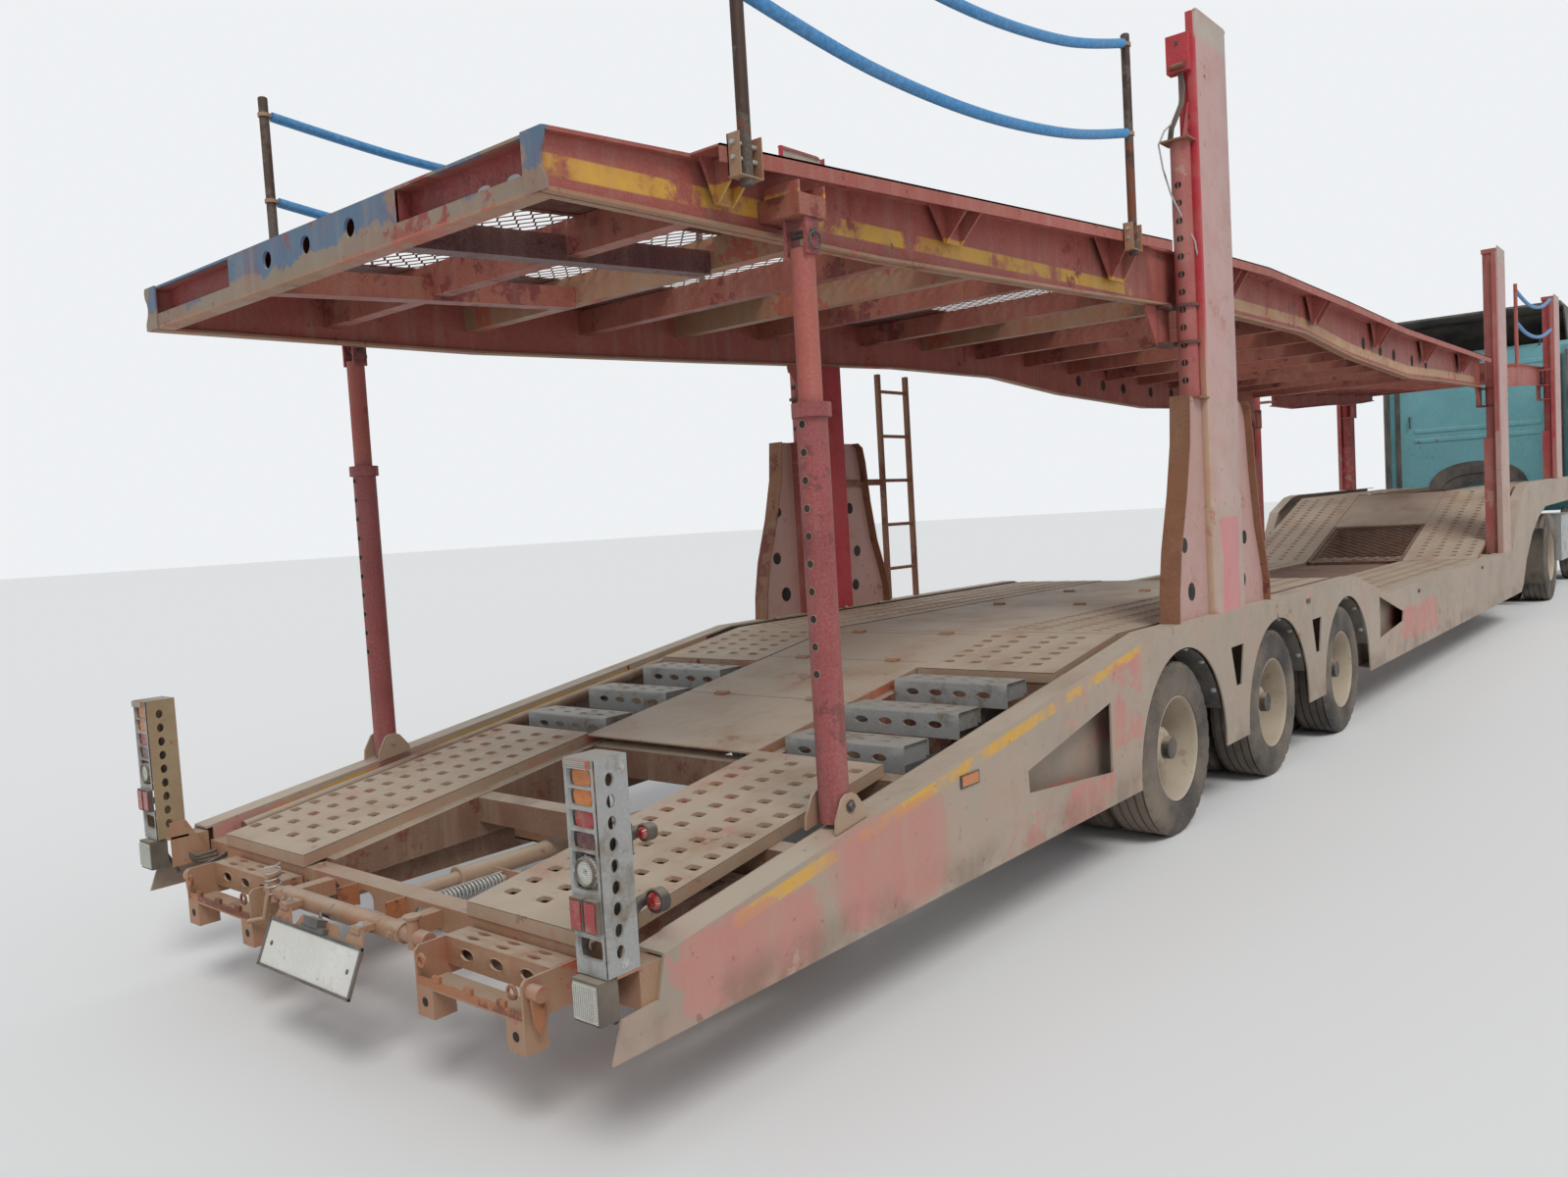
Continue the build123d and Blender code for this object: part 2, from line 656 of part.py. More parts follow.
# Head deck over the gooseneck
head_members = (12180, 13000, 13900, 14800, 15700, 16540)
with BuildPart() as head_deck_frame:
    deck_beam(head_line, head_bottom, 12180, 16600)
    mirror(about=Plane.XZ)
    for station in head_members:
        high = min(height_on(head_line, s) for s in (station, station + 60)) - 10 - gap
        bar(at(station), at(station + 60), -beam_outer + 30, beam_outer - 30, high - 100, high)
    base = height_on(head_bottom, head_post_x)
    for side in (-1, 1):
        y = side * column_y
        low, high = sorted((side * (beam_outer - beam_flange), side * 1236))
        for z in (base - 190, base - 20):
            bar(at(head_post_x - 84), at(head_post_x + 74), low, high, z, z + 14)
            rod("Z", (at(head_post_x), y), column_r + slide_clearance, z - 1, z + 15,
                mode=Mode.SUBTRACT)
        low, high = sorted((side * (beam_outer - beam_flange), side * (beam_outer - 30)))
        bar(at(head_post_x - 84), at(head_post_x + 74), low, high, base - 190, base + 12)
        low, high = sorted((side * (beam_outer - beam_flange), side * 1238))
        for z in (head_line[0][1] - 180, head_line[0][1] - 50):
            bar(at(12000) + slide_clearance, at(head_line[0][0] + 60), low, high, z, z + 14)
        for station, inward in zip(head_guards, (1, -1)):
            z = height_on(head_line, station)
            rod("Z", (at(station), side * guard_y), guard_r, z - 60, z + guard_height)
            low, high = sorted((side * (beam_outer - 30), side * (guard_y + 10)))
            bar(at(station - 30), at(station + 30), low, high, z - 60, z - 40)
            for points in rope_routes.values():
                height = (points[0][1] if inward > 0 else points[-1][1]) + head_rope_lift
                low, high = sorted((at(station), at(station) + inward * (guard_r + eye)))
                rod("X", (side * guard_y, height), 8, low, high)
finish(head_deck_frame.part, "head_deck_frame")

with BuildPart() as head_deck_floor:
    ribbon(head_line, 12240, 16540, 10, -(beam_outer - beam_flange) + gap,
           beam_outer - beam_flange - gap, 0)
finish(head_deck_floor.part, "head_deck_floor")

def hanging_rope(name, stations, side, points):
    """A rope as straight runs joined by arcs, between the near faces of two guard posts."""
    reach = guard_r + eye + 2.4
    start, end = stations[0] + reach, stations[1] - reach
    route = [Vector(at(start + (end - start) * share), side * guard_y, z)
             for share, z in points]
    radii = []
    for a, b, c in zip(route, route[1:], route[2:]):
        turn = math.radians((b - a).get_angle(c - b))
        radii.append(0.45 * min((b - a).length, (c - b).length) / math.tan(turn / 2))
    with BuildPart() as rope:
        with BuildLine() as path:
            FilletPolyline(*route, radius=radii)
        with BuildSketch(Plane(origin=route[0], z_dir=route[1] - route[0])):
            Circle(rope_r)
        sweep(path=path.wires()[0])
    print(name, "radii", [round(r) for r in radii], "length", round(path.wires()[0].length),
          "volume ratio",
          round(rope.part.volume / (math.pi * rope_r ** 2 * path.wires()[0].length), 4))
    finish(rope.part, name)


for hand, side in sides:
    for level, points in rope_routes.items():
        hanging_rope(f"guard_rope_{hand}_{level}", guard_stations, side, points)
        raised = [(share, z + head_rope_lift) for share, z in points]
        hanging_rope(f"head_rope_{hand}_{level}", head_guards, side, raised)

# Tractor frame: two rails, cross members and the cab's front hinge brackets
with BuildPart() as tractor_frame:
    bar(at(14350), at(19500), -rail_outer, -rail_outer + rail_width, rail_bottom, rail_top)
    bar(at(14340), at(19510), -rail_outer + 8, -rail_outer + rail_width + 1, rail_bottom + 8,
        rail_top - 8, mode=Mode.SUBTRACT)
    mirror(about=Plane.XZ)
    for station in (14350, 15600, 16500, 17600, 19420):
        bar(at(station), at(station + 80), -rail_outer + 8, rail_outer - 8, rail_bottom + 40,
            rail_top - 40)
    for side in (-1, 1):
        low, high = sorted((side * 360, side * 380))
        side_plate([(at(19380), 900), (at(19500), 800), (at(cab_hinge[0] + 40), 960),
                    (at(cab_hinge[0] + 40), 1040), (at(cab_hinge[0] - 40), 1040),
                    (at(19380), 990)], low, high)
        low, high = sorted((side * 360, side * 412))
        rod("Y", (at(cab_hinge[0]), cab_hinge[1]), 15, low, high)
finish(tractor_frame.part, "tractor_frame")

# Fifth wheel on the rails
plate_top = neck_bottom - 8 - gap
with BuildPart() as fifth_wheel:
    rod("Z", (at(king_station), 0), 460, plate_top - 30, plate_top)
    bar(at(king_station - 620), at(king_station - 300), -300, 300, plate_top - 30, plate_top)
    flat_plate([(at(king_station - 640), -160), (at(king_station), -king_r - run_clearance - 12),
                (at(king_station), king_r + run_clearance + 12),
                (at(king_station - 640), 160)], plate_top - 31, plate_top + 1,
               mode=Mode.SUBTRACT)
    rod("Z", (at(king_station), 0), 46, plate_top - 31, plate_top + 1, mode=Mode.SUBTRACT)
    for side in (-1, 1):
        low, high = sorted((side * 330, side * 430))
        bar(at(king_station - 90), at(king_station + 90), low, high, rail_top, plate_top - 30)
finish(fifth_wheel.part, "fifth_wheel")

# Tractor axles, springs and front beam
with BuildPart() as tractor_axles:
    x = at(drive_station)
    rod("Y", (x, tyre_r), 70, -590, 590)
    rod("Y", (x, tyre_r), spindle_r, -1160, 1160)
    with Locations((x, 0, tyre_r)):
        Sphere(200)
    for side in (-1, 1):
        y = side * 390
        bar(x - 60, x + 60, y - 40, y + 40, tyre_r, rail_bottom)
    x = at(steer_station)
    bar(x - 50, x + 50, -steer_pivot_y, steer_pivot_y, tyre_r - 60, tyre_r + 60)
    for side in (-1, 1):
        y = side * 390
        rod("Z", (x, side * steer_pivot_y), 60, tyre_r - 80, tyre_r + 80)
        rod("Z", (x, side * steer_pivot_y), 25 + run_clearance, tyre_r - 90, tyre_r + 90,
            mode=Mode.SUBTRACT)
        bar(x - 60, x + 60, y - 40, y + 40, tyre_r + 50, rail_bottom)
finish(tractor_axles.part, "tractor_axles")

# Steering knuckles
for hand, side in sides:
    with BuildPart() as knuckle:
        x = at(steer_station)
        y = side * steer_pivot_y
        rod("Z", (x, y), 25, tyre_r - 118, tyre_r + 118)
        low, high = sorted((y, side * (steer_pivot_y + 90)))
        for z in (tyre_r + 80 + gap, tyre_r - 118 - gap + 0.4):
            rod("Z", (x, y), 58, z, z + 37)
            bar(x - 50, x + 50, low, high, z, z + 37)
        low, high = sorted((side * (steer_pivot_y + 68), side * (steer_pivot_y + 90)))
        bar(x - 50, x + 50, low, high, tyre_r - 118, tyre_r + 118)
        low, high = sorted((side * (steer_pivot_y + 80), side * 1180))
        rod("Y", (x, tyre_r), spindle_r, low, high)
    finish(knuckle.part, f"knuckle_{hand}")

for hand, side in sides:
    twin_wheel(f"drive_wheels_{hand}", at(drive_station), tyre_r, side, drive_outer_y,
               drive_twin, tyre_r, tyre_w, tyre_rim_r, spindle_r + run_clearance)
    single_wheel(f"steer_wheel_{hand}", at(steer_station), tyre_r, side, steer_y, tyre_r, 300,
                 tyre_rim_r, spindle_r + run_clearance, steer_pivot_y + 96)

# Engine block between the rails
with BuildPart() as engine_block:
    bar(at(17900), at(19200), -rail_outer + rail_width + 10, rail_outer - rail_width - 10,
        700, 1120)
    for side in (-1, 1):
        low, high = sorted((side * (rail_outer - rail_width - 10), side * (rail_outer - 8)))
        bar(at(18100), at(18200), low, high, 850, 950)
finish(engine_block.part, "engine_block")

# Fuel tank on the left and battery box on the right
with BuildPart() as side_tanks:
    for side in (-1, 1):
        low, high = sorted((side * 560, side * 1180))
        bar(at(16300), at(17750), low, high, 400, 980)
        low, high = sorted((side * (rail_outer + gap), side * 560))
        for station in (16500, 17500):
            bar(at(station), at(station + 60), low, high, 760, 960)
finish(side_tanks.part, "side_tanks")

# Front bumper with lamp recesses
with BuildPart() as front_bumper:
    bar(at(19400), at(length - plate_overhang), -1240, 1240, 330, 862)
    bar(at(19390), at(length - plate_overhang - 60), -1180, 1180, 300, 820, mode=Mode.SUBTRACT)
    bar(at(19390), at(length - plate_overhang - 60), -700, 700, 810, 890, mode=Mode.SUBTRACT)
    for side in (-1, 1):
        low, high = sorted((side * 200, side * 300))
        bar(at(19500) + gap, at(length - plate_overhang - 60), low, high, 780, 850)
finish(front_bumper.part, "front_bumper")

# Mud flaps behind the drive wheels
with BuildPart() as mud_flaps:
    bar(at(14320), at(14328), -1230, -610, 260, 900)
    bar(at(14320), at(14350 - gap), -640, -350, 860, 900)
    mirror(about=Plane.XZ)
finish(mud_flaps.part, "mud_flaps")

# Cab shell: hollow, with the windscreen and door openings cut
cab_side = [
    (at(cab_back), 1190), (at(cab_back), 3300), (at(cab_back + 70), cab_roof),
    (at(19300), cab_roof), (at(19640), 3130), (at(19880), 2080), (at(cab_front), 1700),
    (at(cab_front), 960), (at(cab_front - 30), 960), (at(cab_front - 30), 1190),
]
cab_inside = [
    (at(cab_back + cab_wall), 1190 + cab_wall), (at(cab_back + cab_wall), 3270),
    (at(cab_back + 90), cab_roof - cab_wall), (at(19280), cab_roof - cab_wall),
    (at(19600), 3110), (at(19835), 2080), (at(cab_front - cab_wall), 1700),
    (at(cab_front - cab_wall), 1190 + cab_wall),
]
door_outline = [
    (at(18760), 1250), (at(18760), 2950), (at(18860), 3060), (at(19500), 3060),
    (at(19740), 2080), (at(19740), 1250),
]
door_gap = 6.0
door_thick = 38.0
door_seat = 0.8
jamb_outline = [
    (at(18790), 1280), (at(18790), 2940), (at(18875), 3030), (at(19475), 3030),
    (at(19710), 2075), (at(19710), 1280),
]
with BuildPart() as cab_shell:
    side_plate(cab_side, -cab_half, cab_half)
    side_plate(cab_inside, -cab_half + cab_wall, cab_half - cab_wall, mode=Mode.SUBTRACT)
    for side in (-1, 1):
        low, high = sorted((side * (cab_half - door_thick - door_seat), side * (cab_half + 5)))
        side_plate(door_outline, low, high, mode=Mode.SUBTRACT)
        low, high = sorted((side * (cab_half - cab_wall - 5), side * cab_half))
        side_plate(jamb_outline, low, high, mode=Mode.SUBTRACT)
    screen = [(at(19560), 2970), (at(19830), 2160), (at(20050), 2160), (at(20050), 2970)]
    side_plate(screen, -cab_half + 90, cab_half - 90, mode=Mode.SUBTRACT)
    for side in (-1, 1):
        low, high = sorted((side * 385, side * 405))
        bar(at(cab_hinge[0] - 30), at(cab_hinge[0] + 30), low, high, 970, 1230)
        rod("Y", (at(cab_hinge[0]), cab_hinge[1]), 15 + run_clearance, low - 1, high + 1,
            mode=Mode.SUBTRACT)
finish(cab_shell.part, "cab_shell")

with BuildPart() as cab_glass:
    slant = (19880 - 19640) / (3130 - 2080)
    def screen_x(z, inset):
        return at(19880 - (z - 2080) * slant - inset)
    side_plate([(screen_x(2160 + gap, 12), 2160 + gap), (screen_x(2160 + gap, 22), 2160 + gap),
                (screen_x(2970 - gap, 22), 2970 - gap), (screen_x(2970 - gap, 12), 2970 - gap)],
               -cab_half + 90 + gap, cab_half - 90 - gap)
finish(cab_glass.part, "cab_glass")

# Doors: pane and panel, hinged on their front edges
for hand, side in sides:
    with BuildPart() as door:
        inset = [
            (at(18760) + door_gap, 1250 + door_gap), (at(18760) + door_gap, 2950),
            (at(18863), 3060 - door_gap), (at(19495), 3060 - door_gap),
            (at(19740) - door_gap, 2080), (at(19740) - door_gap, 1250 + door_gap),
        ]
        low, high = sorted((side * (cab_half - door_thick), side * cab_half))
        side_plate(inset, low, high)
        pane = [(at(18850), 2130), (at(18850), 2930), (at(19440), 2930), (at(19630), 2130)]
        side_plate(pane, low - 1, high + 1, mode=Mode.SUBTRACT)
        low, high = sorted((side * (cab_half - 22), side * (cab_half - 16)))
        inner = [(at(18850) + gap, 2130 + gap), (at(18850) + gap, 2930 - gap),
                 (at(19440) - gap, 2930 - gap), (at(19630) - 2 * gap, 2130 + gap)]
        side_plate(inner, low, high)
    finish(door.part, f"cab_door_{hand}")

# Cab interior: seats, dashboard and steering wheel
with BuildPart() as cab_interior:
    floor = 1190 + cab_wall + gap
    for y in (-560, 560):
        bar(at(18700), at(19200), y - 240, y + 240, floor, 1700)
        bar(at(18600), at(18720), y - 240, y + 240, 1600, 2350)
    bar(at(17900), at(18500), -1000, 1000, floor, 1750)
    bar(at(19450), at(19780), -1050, 1050, 1500, 1950)
    bar(at(19600), at(19780), -1000, 1000, floor, 1500)
finish(cab_interior.part, "cab_interior")

# Roof deflector and side fairings behind the cab
with BuildPart() as cab_fairings:
    side_plate([(at(17560), 3840), (at(17560), 3870), (at(18500), 3850), (at(19250), cab_roof + 40),
                (at(19250), cab_roof + gap), (at(19150), cab_roof + gap), (at(18450), 3810)],
               -1080, 1080)
    for side in (-1, 1):
        low, high = sorted((side * 1060, side * 1080))
        side_plate([(at(18300), cab_roof + gap), (at(19200), cab_roof + gap), (at(18500), 3840),
                    (at(17900), 3845)], low, high)
        low, high = sorted((side * (cab_half - 25), side * cab_half))
        side_plate([(at(17560), 1300), (at(17560), 3200), (at(cab_back) - gap, 3290),
                    (at(cab_back) - gap, 1200)], low, high)
finish(cab_fairings.part, "cab_fairings")
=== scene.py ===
# %% [markdown]
# # A car transporter, dressed in Blender
# The lorry comes out of its CAD frame with every plate at its real size. Here each piece gets the
# surface of the real thing: dusty paint, zinc, rust, rubber. Soft or pressed pieces, such as hoses,
# tyres and slotted tracks, are built anew where the CAD solid is only a stand-in. We start by
# loading the frame.

# %% Load the frame
import bmesh
import bpy
import json
import math
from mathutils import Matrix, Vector


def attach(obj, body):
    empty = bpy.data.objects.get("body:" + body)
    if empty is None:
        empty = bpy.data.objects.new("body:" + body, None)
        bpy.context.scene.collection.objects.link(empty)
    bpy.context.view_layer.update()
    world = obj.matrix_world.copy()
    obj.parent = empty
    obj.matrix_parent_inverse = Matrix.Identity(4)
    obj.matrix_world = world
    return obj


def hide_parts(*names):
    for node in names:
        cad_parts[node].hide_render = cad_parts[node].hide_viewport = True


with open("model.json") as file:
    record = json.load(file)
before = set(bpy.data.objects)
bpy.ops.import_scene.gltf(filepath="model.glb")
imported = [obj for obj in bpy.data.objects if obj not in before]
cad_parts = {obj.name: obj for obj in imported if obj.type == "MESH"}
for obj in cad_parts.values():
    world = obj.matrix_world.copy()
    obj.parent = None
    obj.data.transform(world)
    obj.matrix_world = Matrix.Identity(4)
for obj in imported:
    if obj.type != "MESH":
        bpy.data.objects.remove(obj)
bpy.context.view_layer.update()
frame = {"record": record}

# %% [markdown]
# ## Stations
# A builder of trailers measures along the vehicle from its rear end. The frame's origin is at
# mid-length, so one small function turns a station, in metres, into X. The deck is a bent line in
# side view, and nearly everything on the trailer takes its height from it.

# %% Stations and deck lines
REAR_END = -9.910
HALF_WIDTH = 1.250


def at(station):
    """Frame X of a station in metres."""
    return REAR_END + station


def height_on(line, station):
    """Height of a bent line of (station, height) points."""
    for (s0, z0), (s1, z1) in zip(line, line[1:]):
        if s0 <= station <= s1:
            return z0 + (z1 - z0) * (station - s0) / (s1 - s0)
    return line[0][1] if station < line[0][0] else line[-1][1]


DECK_LINE = ((0.180, 0.505), (3.060, 0.940), (6.250, 0.940), (7.000, 0.750), (11.100, 0.750),
             (13.240, 1.400), (16.900, 1.440))
UPPER_LINE = ((0.110, 2.446), (3.500, 2.650), (4.900, 2.700), (6.400, 2.682), (8.000, 2.648),
              (11.600, 2.660))
HEAD_LINE = ((12.180, 2.690), (14.400, 2.800), (16.600, 2.880))
print("deck height at station 3:", round(height_on(DECK_LINE, 3.0), 3))

# %% [markdown]
# ## Camera
# The photograph was taken at head height behind the right rear corner. Its place and turn were
# solved from the straight edges of the trailer, so the camera below sees the lorry as the
# photograph does, and likeness can be checked edge by edge.

# %% Camera
CAMERA_PLACE = (-11.57567, -3.23954, 1.50861)
CAMERA_TURN = (86.6694, 3.4020, -49.9787)
FILM_WIDTH, FOCAL_LENGTH = 36.0, 26.88
camera_data = bpy.data.cameras.new("photo_camera")
camera_data.sensor_width = FILM_WIDTH
camera_data.lens = FOCAL_LENGTH
camera_data.clip_end = 300.0
camera = bpy.data.objects.new("photo_camera", camera_data)
camera.location = CAMERA_PLACE
camera.rotation_euler = [math.radians(a) for a in CAMERA_TURN]
bpy.context.collection.objects.link(camera)
bpy.context.scene.camera = camera
print("camera at", tuple(round(c, 2) for c in camera.location))

# %% [markdown]
# ## Floor and light
# A vehicle is photographed in a studio on a pale floor that runs out of sight, under a broad soft
# sky with one large soft lamp. The sky gives even light and the lamp adds the rest, so that a
# paint renders about as bright as it is written. Camera rays see a plain pale sky instead.

# %% Floor and light
PALE = (0.80, 0.81, 0.82)
SKY_LIGHT, SKY_SEEN = (0.95, 0.98, 1.0), (0.86, 0.88, 0.90)
SKY_STRENGTH = 0.62
LAMP_FROM, LAMP_STRENGTH, LAMP_SOFTNESS = (-0.55, -0.75, 1.1), 1.35, 22
LAMP_COLOUR = (1.0, 0.97, 0.93)


def studio_floor(size=160.0):
    """A plain pale sheet under the wheels."""
    mesh = bpy.data.meshes.new("studio_floor")
    corners = [(-size, -size, 0), (size, -size, 0), (size, size, 0), (-size, size, 0)]
    mesh.from_pydata(corners, [], [(0, 1, 2, 3)])
    floor = bpy.data.objects.new("studio_floor", mesh)
    bpy.context.collection.objects.link(floor)
    material = bpy.data.materials.new("studio_floor")
    material.use_nodes = True
    shader = material.node_tree.nodes["Principled BSDF"]
    shader.inputs["Base Color"].default_value = (*PALE, 1)
    shader.inputs["Roughness"].default_value = 0.9
    shader.inputs["Specular IOR Level"].default_value = 0.1
    mesh.materials.append(material)
    return floor


def studio_sky(strength):
    """Even light from all round; camera and glass see a plain pale grey."""
    world = bpy.data.worlds.new("studio_sky")
    bpy.context.scene.world = world
    world.use_nodes = True
    nodes, links = world.node_tree.nodes, world.node_tree.links
    nodes.clear()
    rays = nodes.new("ShaderNodeLightPath")
    seen = nodes.new("ShaderNodeMath")
    seen.operation = "MAXIMUM"
    links.new(rays.outputs["Is Camera Ray"], seen.inputs[0])
    links.new(rays.outputs["Is Transmission Ray"], seen.inputs[1])
    light = nodes.new("ShaderNodeBackground")
    light.inputs["Color"].default_value = (*SKY_LIGHT, 1)
    light.inputs["Strength"].default_value = strength
    backdrop = nodes.new("ShaderNodeBackground")
    backdrop.inputs["Color"].default_value = (*SKY_SEEN, 1)
    choose = nodes.new("ShaderNodeMixShader")
    output = nodes.new("ShaderNodeOutputWorld")
    links.new(seen.outputs[0], choose.inputs[0])
    links.new(light.outputs[0], choose.inputs[1])
    links.new(backdrop.outputs[0], choose.inputs[2])
    links.new(choose.outputs[0], output.inputs["Surface"])


def studio_lamp(direction, strength, softness):
    """One distant lamp with soft edges; direction points from the lorry to the lamp."""
    lamp = bpy.data.lights.new("studio_lamp", "SUN")
    lamp.energy = strength
    lamp.angle = math.radians(softness)
    lamp.color = LAMP_COLOUR
    piece = bpy.data.objects.new("studio_lamp", lamp)
    piece.rotation_euler = Vector(direction).to_track_quat("Z", "Y").to_euler()
    bpy.context.collection.objects.link(piece)


studio_floor()
studio_sky(SKY_STRENGTH)
studio_lamp(LAMP_FROM, LAMP_STRENGTH, LAMP_SOFTNESS)
bpy.context.scene.view_settings.view_transform = "Standard"
print("floor, sky and lamp are set")

# %% [markdown]
# ## Shapes from points and faces
# Pressed sheet, tubes and turned rims have a few ways of being made, and each has one method
# here. A Shape collects points and faces in the lorry's frame, in metres, so nothing has to be
# placed afterwards. It becomes one Blender object when it is finished, rides on the body that
# carries it, and may stand in for a CAD solid.

# %% The Shape builder
FLAT, ROUND = False, True
SAME_POINT = 0.00002
SHARP_ANGLE = math.radians(35)


class Shape:
    """Points and faces of one piece, with a finish number for each face."""

    def __init__(self):
        self.points = []
        self.faces = []
        self.finish = []
        self.smooth = []

    def add(self, points, faces, finish=0, smooth=FLAT):
        base = len(self.points)
        self.points.extend(tuple(p) for p in points)
        for face in faces:
            self.faces.append([base + i for i in face])
            self.finish.append(finish)
            self.smooth.append(smooth)

    def box(self, low, high, finish=0):
        """A square-edged block between two corners."""
        (x0, y0, z0), (x1, y1, z1) = low, high
        points = [(x, y, z) for x in (x0, x1) for y in (y0, y1) for z in (z0, z1)]
        faces = [(0, 1, 3, 2), (4, 6, 7, 5), (0, 4, 5, 1), (2, 3, 7, 6), (0, 2, 6, 4), (1, 5, 7, 3)]
        self.add(points, faces, finish)

    def slab(self, outline, place, thick, finish=0, smooth=FLAT):
        """A flat outline made thick; place turns (a, b, height) into a point of the frame."""
        count = len(outline)
        points = [place(a, b, h) for h in (0.0, thick) for a, b in outline]
        faces = [list(range(count))[::-1], list(range(count, 2 * count))]
        self.add(points, faces, finish)
        ring = [(i, (i + 1) % count, count + (i + 1) % count, count + i) for i in range(count)]
        self.add(points, ring, finish, smooth)

    def plate(self, outline, span, finish=0):
        """A side-view outline of (station, height) points, solid between two widths."""
        self.slab(outline, lambda s, z, h: (at(s), span[0] + h, z), span[1] - span[0], finish)

    def block(self, stations, span, heights, finish=0):
        """A square-edged block from stations, widths and heights."""
        self.box((at(stations[0]), span[0], heights[0]), (at(stations[1]), span[1], heights[1]),
                 finish)

    def tube(self, path, radius, sides=12, finish=0, capped=True):
        """A round bar along a path of points; radius is one number or one for each point."""
        path = [Vector(p) for p in path]
        radii = radius if isinstance(radius, (list, tuple)) else [radius] * len(path)
        along = (path[1] - path[0]).normalized()
        across = along.orthogonal().normalized()
        points = []
        for i, p in enumerate(path):
            before = path[max(i - 1, 0)]
            after = path[min(i + 1, len(path) - 1)]
            heading = (after - before).normalized()
            across = (across - heading * across.dot(heading)).normalized()
            third = heading.cross(across)
            for k in range(sides):
                turn = 2 * math.pi * k / sides
                points.append(p + (across * math.cos(turn) + third * math.sin(turn)) * radii[i])
        faces = []
        for i in range(len(path) - 1):
            for k in range(sides):
                a, b = i * sides + k, i * sides + (k + 1) % sides
                faces.append((a, b, b + sides, a + sides))
        self.add(points, faces, finish, ROUND)
        if capped:
            self.add(points[:sides], [list(range(sides))[::-1]], finish)
            self.add(points[-sides:], [list(range(sides))], finish)

    def lathe(self, profile, centre, axis, sides=32, finish=0, smooth=ROUND, closed=True):
        """A profile of (distance along the axis, radius) points turned about the axis."""
        axis = Vector(axis).normalized()
        across = axis.orthogonal().normalized()
        third = axis.cross(across)
        centre = Vector(centre)
        count = len(profile)
        points = []
        for k in range(sides):
            turn = 2 * math.pi * k / sides
            spoke = across * math.cos(turn) + third * math.sin(turn)
            points.extend(centre + axis * t + spoke * r for t, r in profile)
        faces = []
        for k in range(sides):
            following = (k + 1) % sides
            for i in range(count if closed else count - 1):
                j = (i + 1) % count
                faces.append((k * count + i, following * count + i,
                              following * count + j, k * count + j))
        self.add(points, faces, finish, smooth)

    def bolt(self, centre, axis, radius, height, finish=0):
        """A six-sided bolt head with a washer."""
        axis = Vector(axis).normalized()
        centre = Vector(centre)
        self.lathe([(0, 0), (0, radius * 1.5), (height * 0.25, radius * 1.5), (height * 0.25, 0)],
                   centre, axis, 12, finish, FLAT, closed=False)
        self.lathe([(0, radius), (height, radius * 0.92), (height, 0)], centre, axis, 6, finish,
                   FLAT, closed=False)

    def make(self, name, coats, body, slot, replaces=()):
        """Turn the shape into an object on a body of the frame; coats names its finishes in
        the order of the numbers that its faces carry."""
        mesh = bpy.data.meshes.new(name)
        mesh.from_pydata(self.points, [], self.faces)
        mesh.polygons.foreach_set("material_index", self.finish)
        mesh.polygons.foreach_set("use_smooth", self.smooth)
        for coat in coats:
            mesh.materials.append(finishes[coat])
        bm = bmesh.new()
        bm.from_mesh(mesh)
        bmesh.ops.remove_doubles(bm, verts=bm.verts, dist=SAME_POINT)
        bmesh.ops.recalc_face_normals(bm, faces=bm.faces)
        bm.to_mesh(mesh)
        bm.free()
        mesh.set_sharp_from_angle(angle=SHARP_ANGLE)
        piece = bpy.data.objects.new(name, mesh)
        bpy.context.collection.objects.link(piece)
        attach(piece, body)
        for node in replaces:
            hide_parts(node)
        triangles = sum(len(p.vertices) - 2 for p in mesh.polygons)
        print(f"{name}: {triangles} triangles on {body}")
        return piece


def across(side, inner, outer):
    """The lower and upper Y of a stretch from inner to outer on one side."""
    return tuple(sorted((side * inner, side * outer)))


def along_line(line, start, end, drop=0.0):
    """The (station, height) points of a bent line between two stations, lowered by drop."""
    stations = [start] + [s for s, z in line if start < s < end] + [end]
    return [(s, height_on(line, s) - drop) for s in stations]


def ribbon(shape, line, start, end, thick, span, drop=0.0, finish=0):
    """A plate of even thickness that follows a bent line."""
    top = along_line(line, start, end, drop)
    shape.plate(top + [(s, z - thick) for s, z in reversed(top)], span, finish)


print("the Shape builder is ready")

# %% [markdown]
# ## Finishes
# An old working lorry wears many coats: paint, dust on everything that faces up, rust where the
# paint has gone. All of these are made from a few noises laid over the real positions in metres,
# so a patch of rust is as large on a long beam as on a small bracket. Each finish below is one
# function, and a small class keeps the node wiring short.

# %% The Finish builder
def srgb(*levels):
    """A colour as it reads on a screen, 0 to 255, in the shader's linear numbers."""
    linear = []
    for level in levels:
        c = level / 255
        linear.append(c / 12.92 if c <= 0.04045 else ((c + 0.055) / 1.055) ** 2.4)
    return (*linear, 1.0)


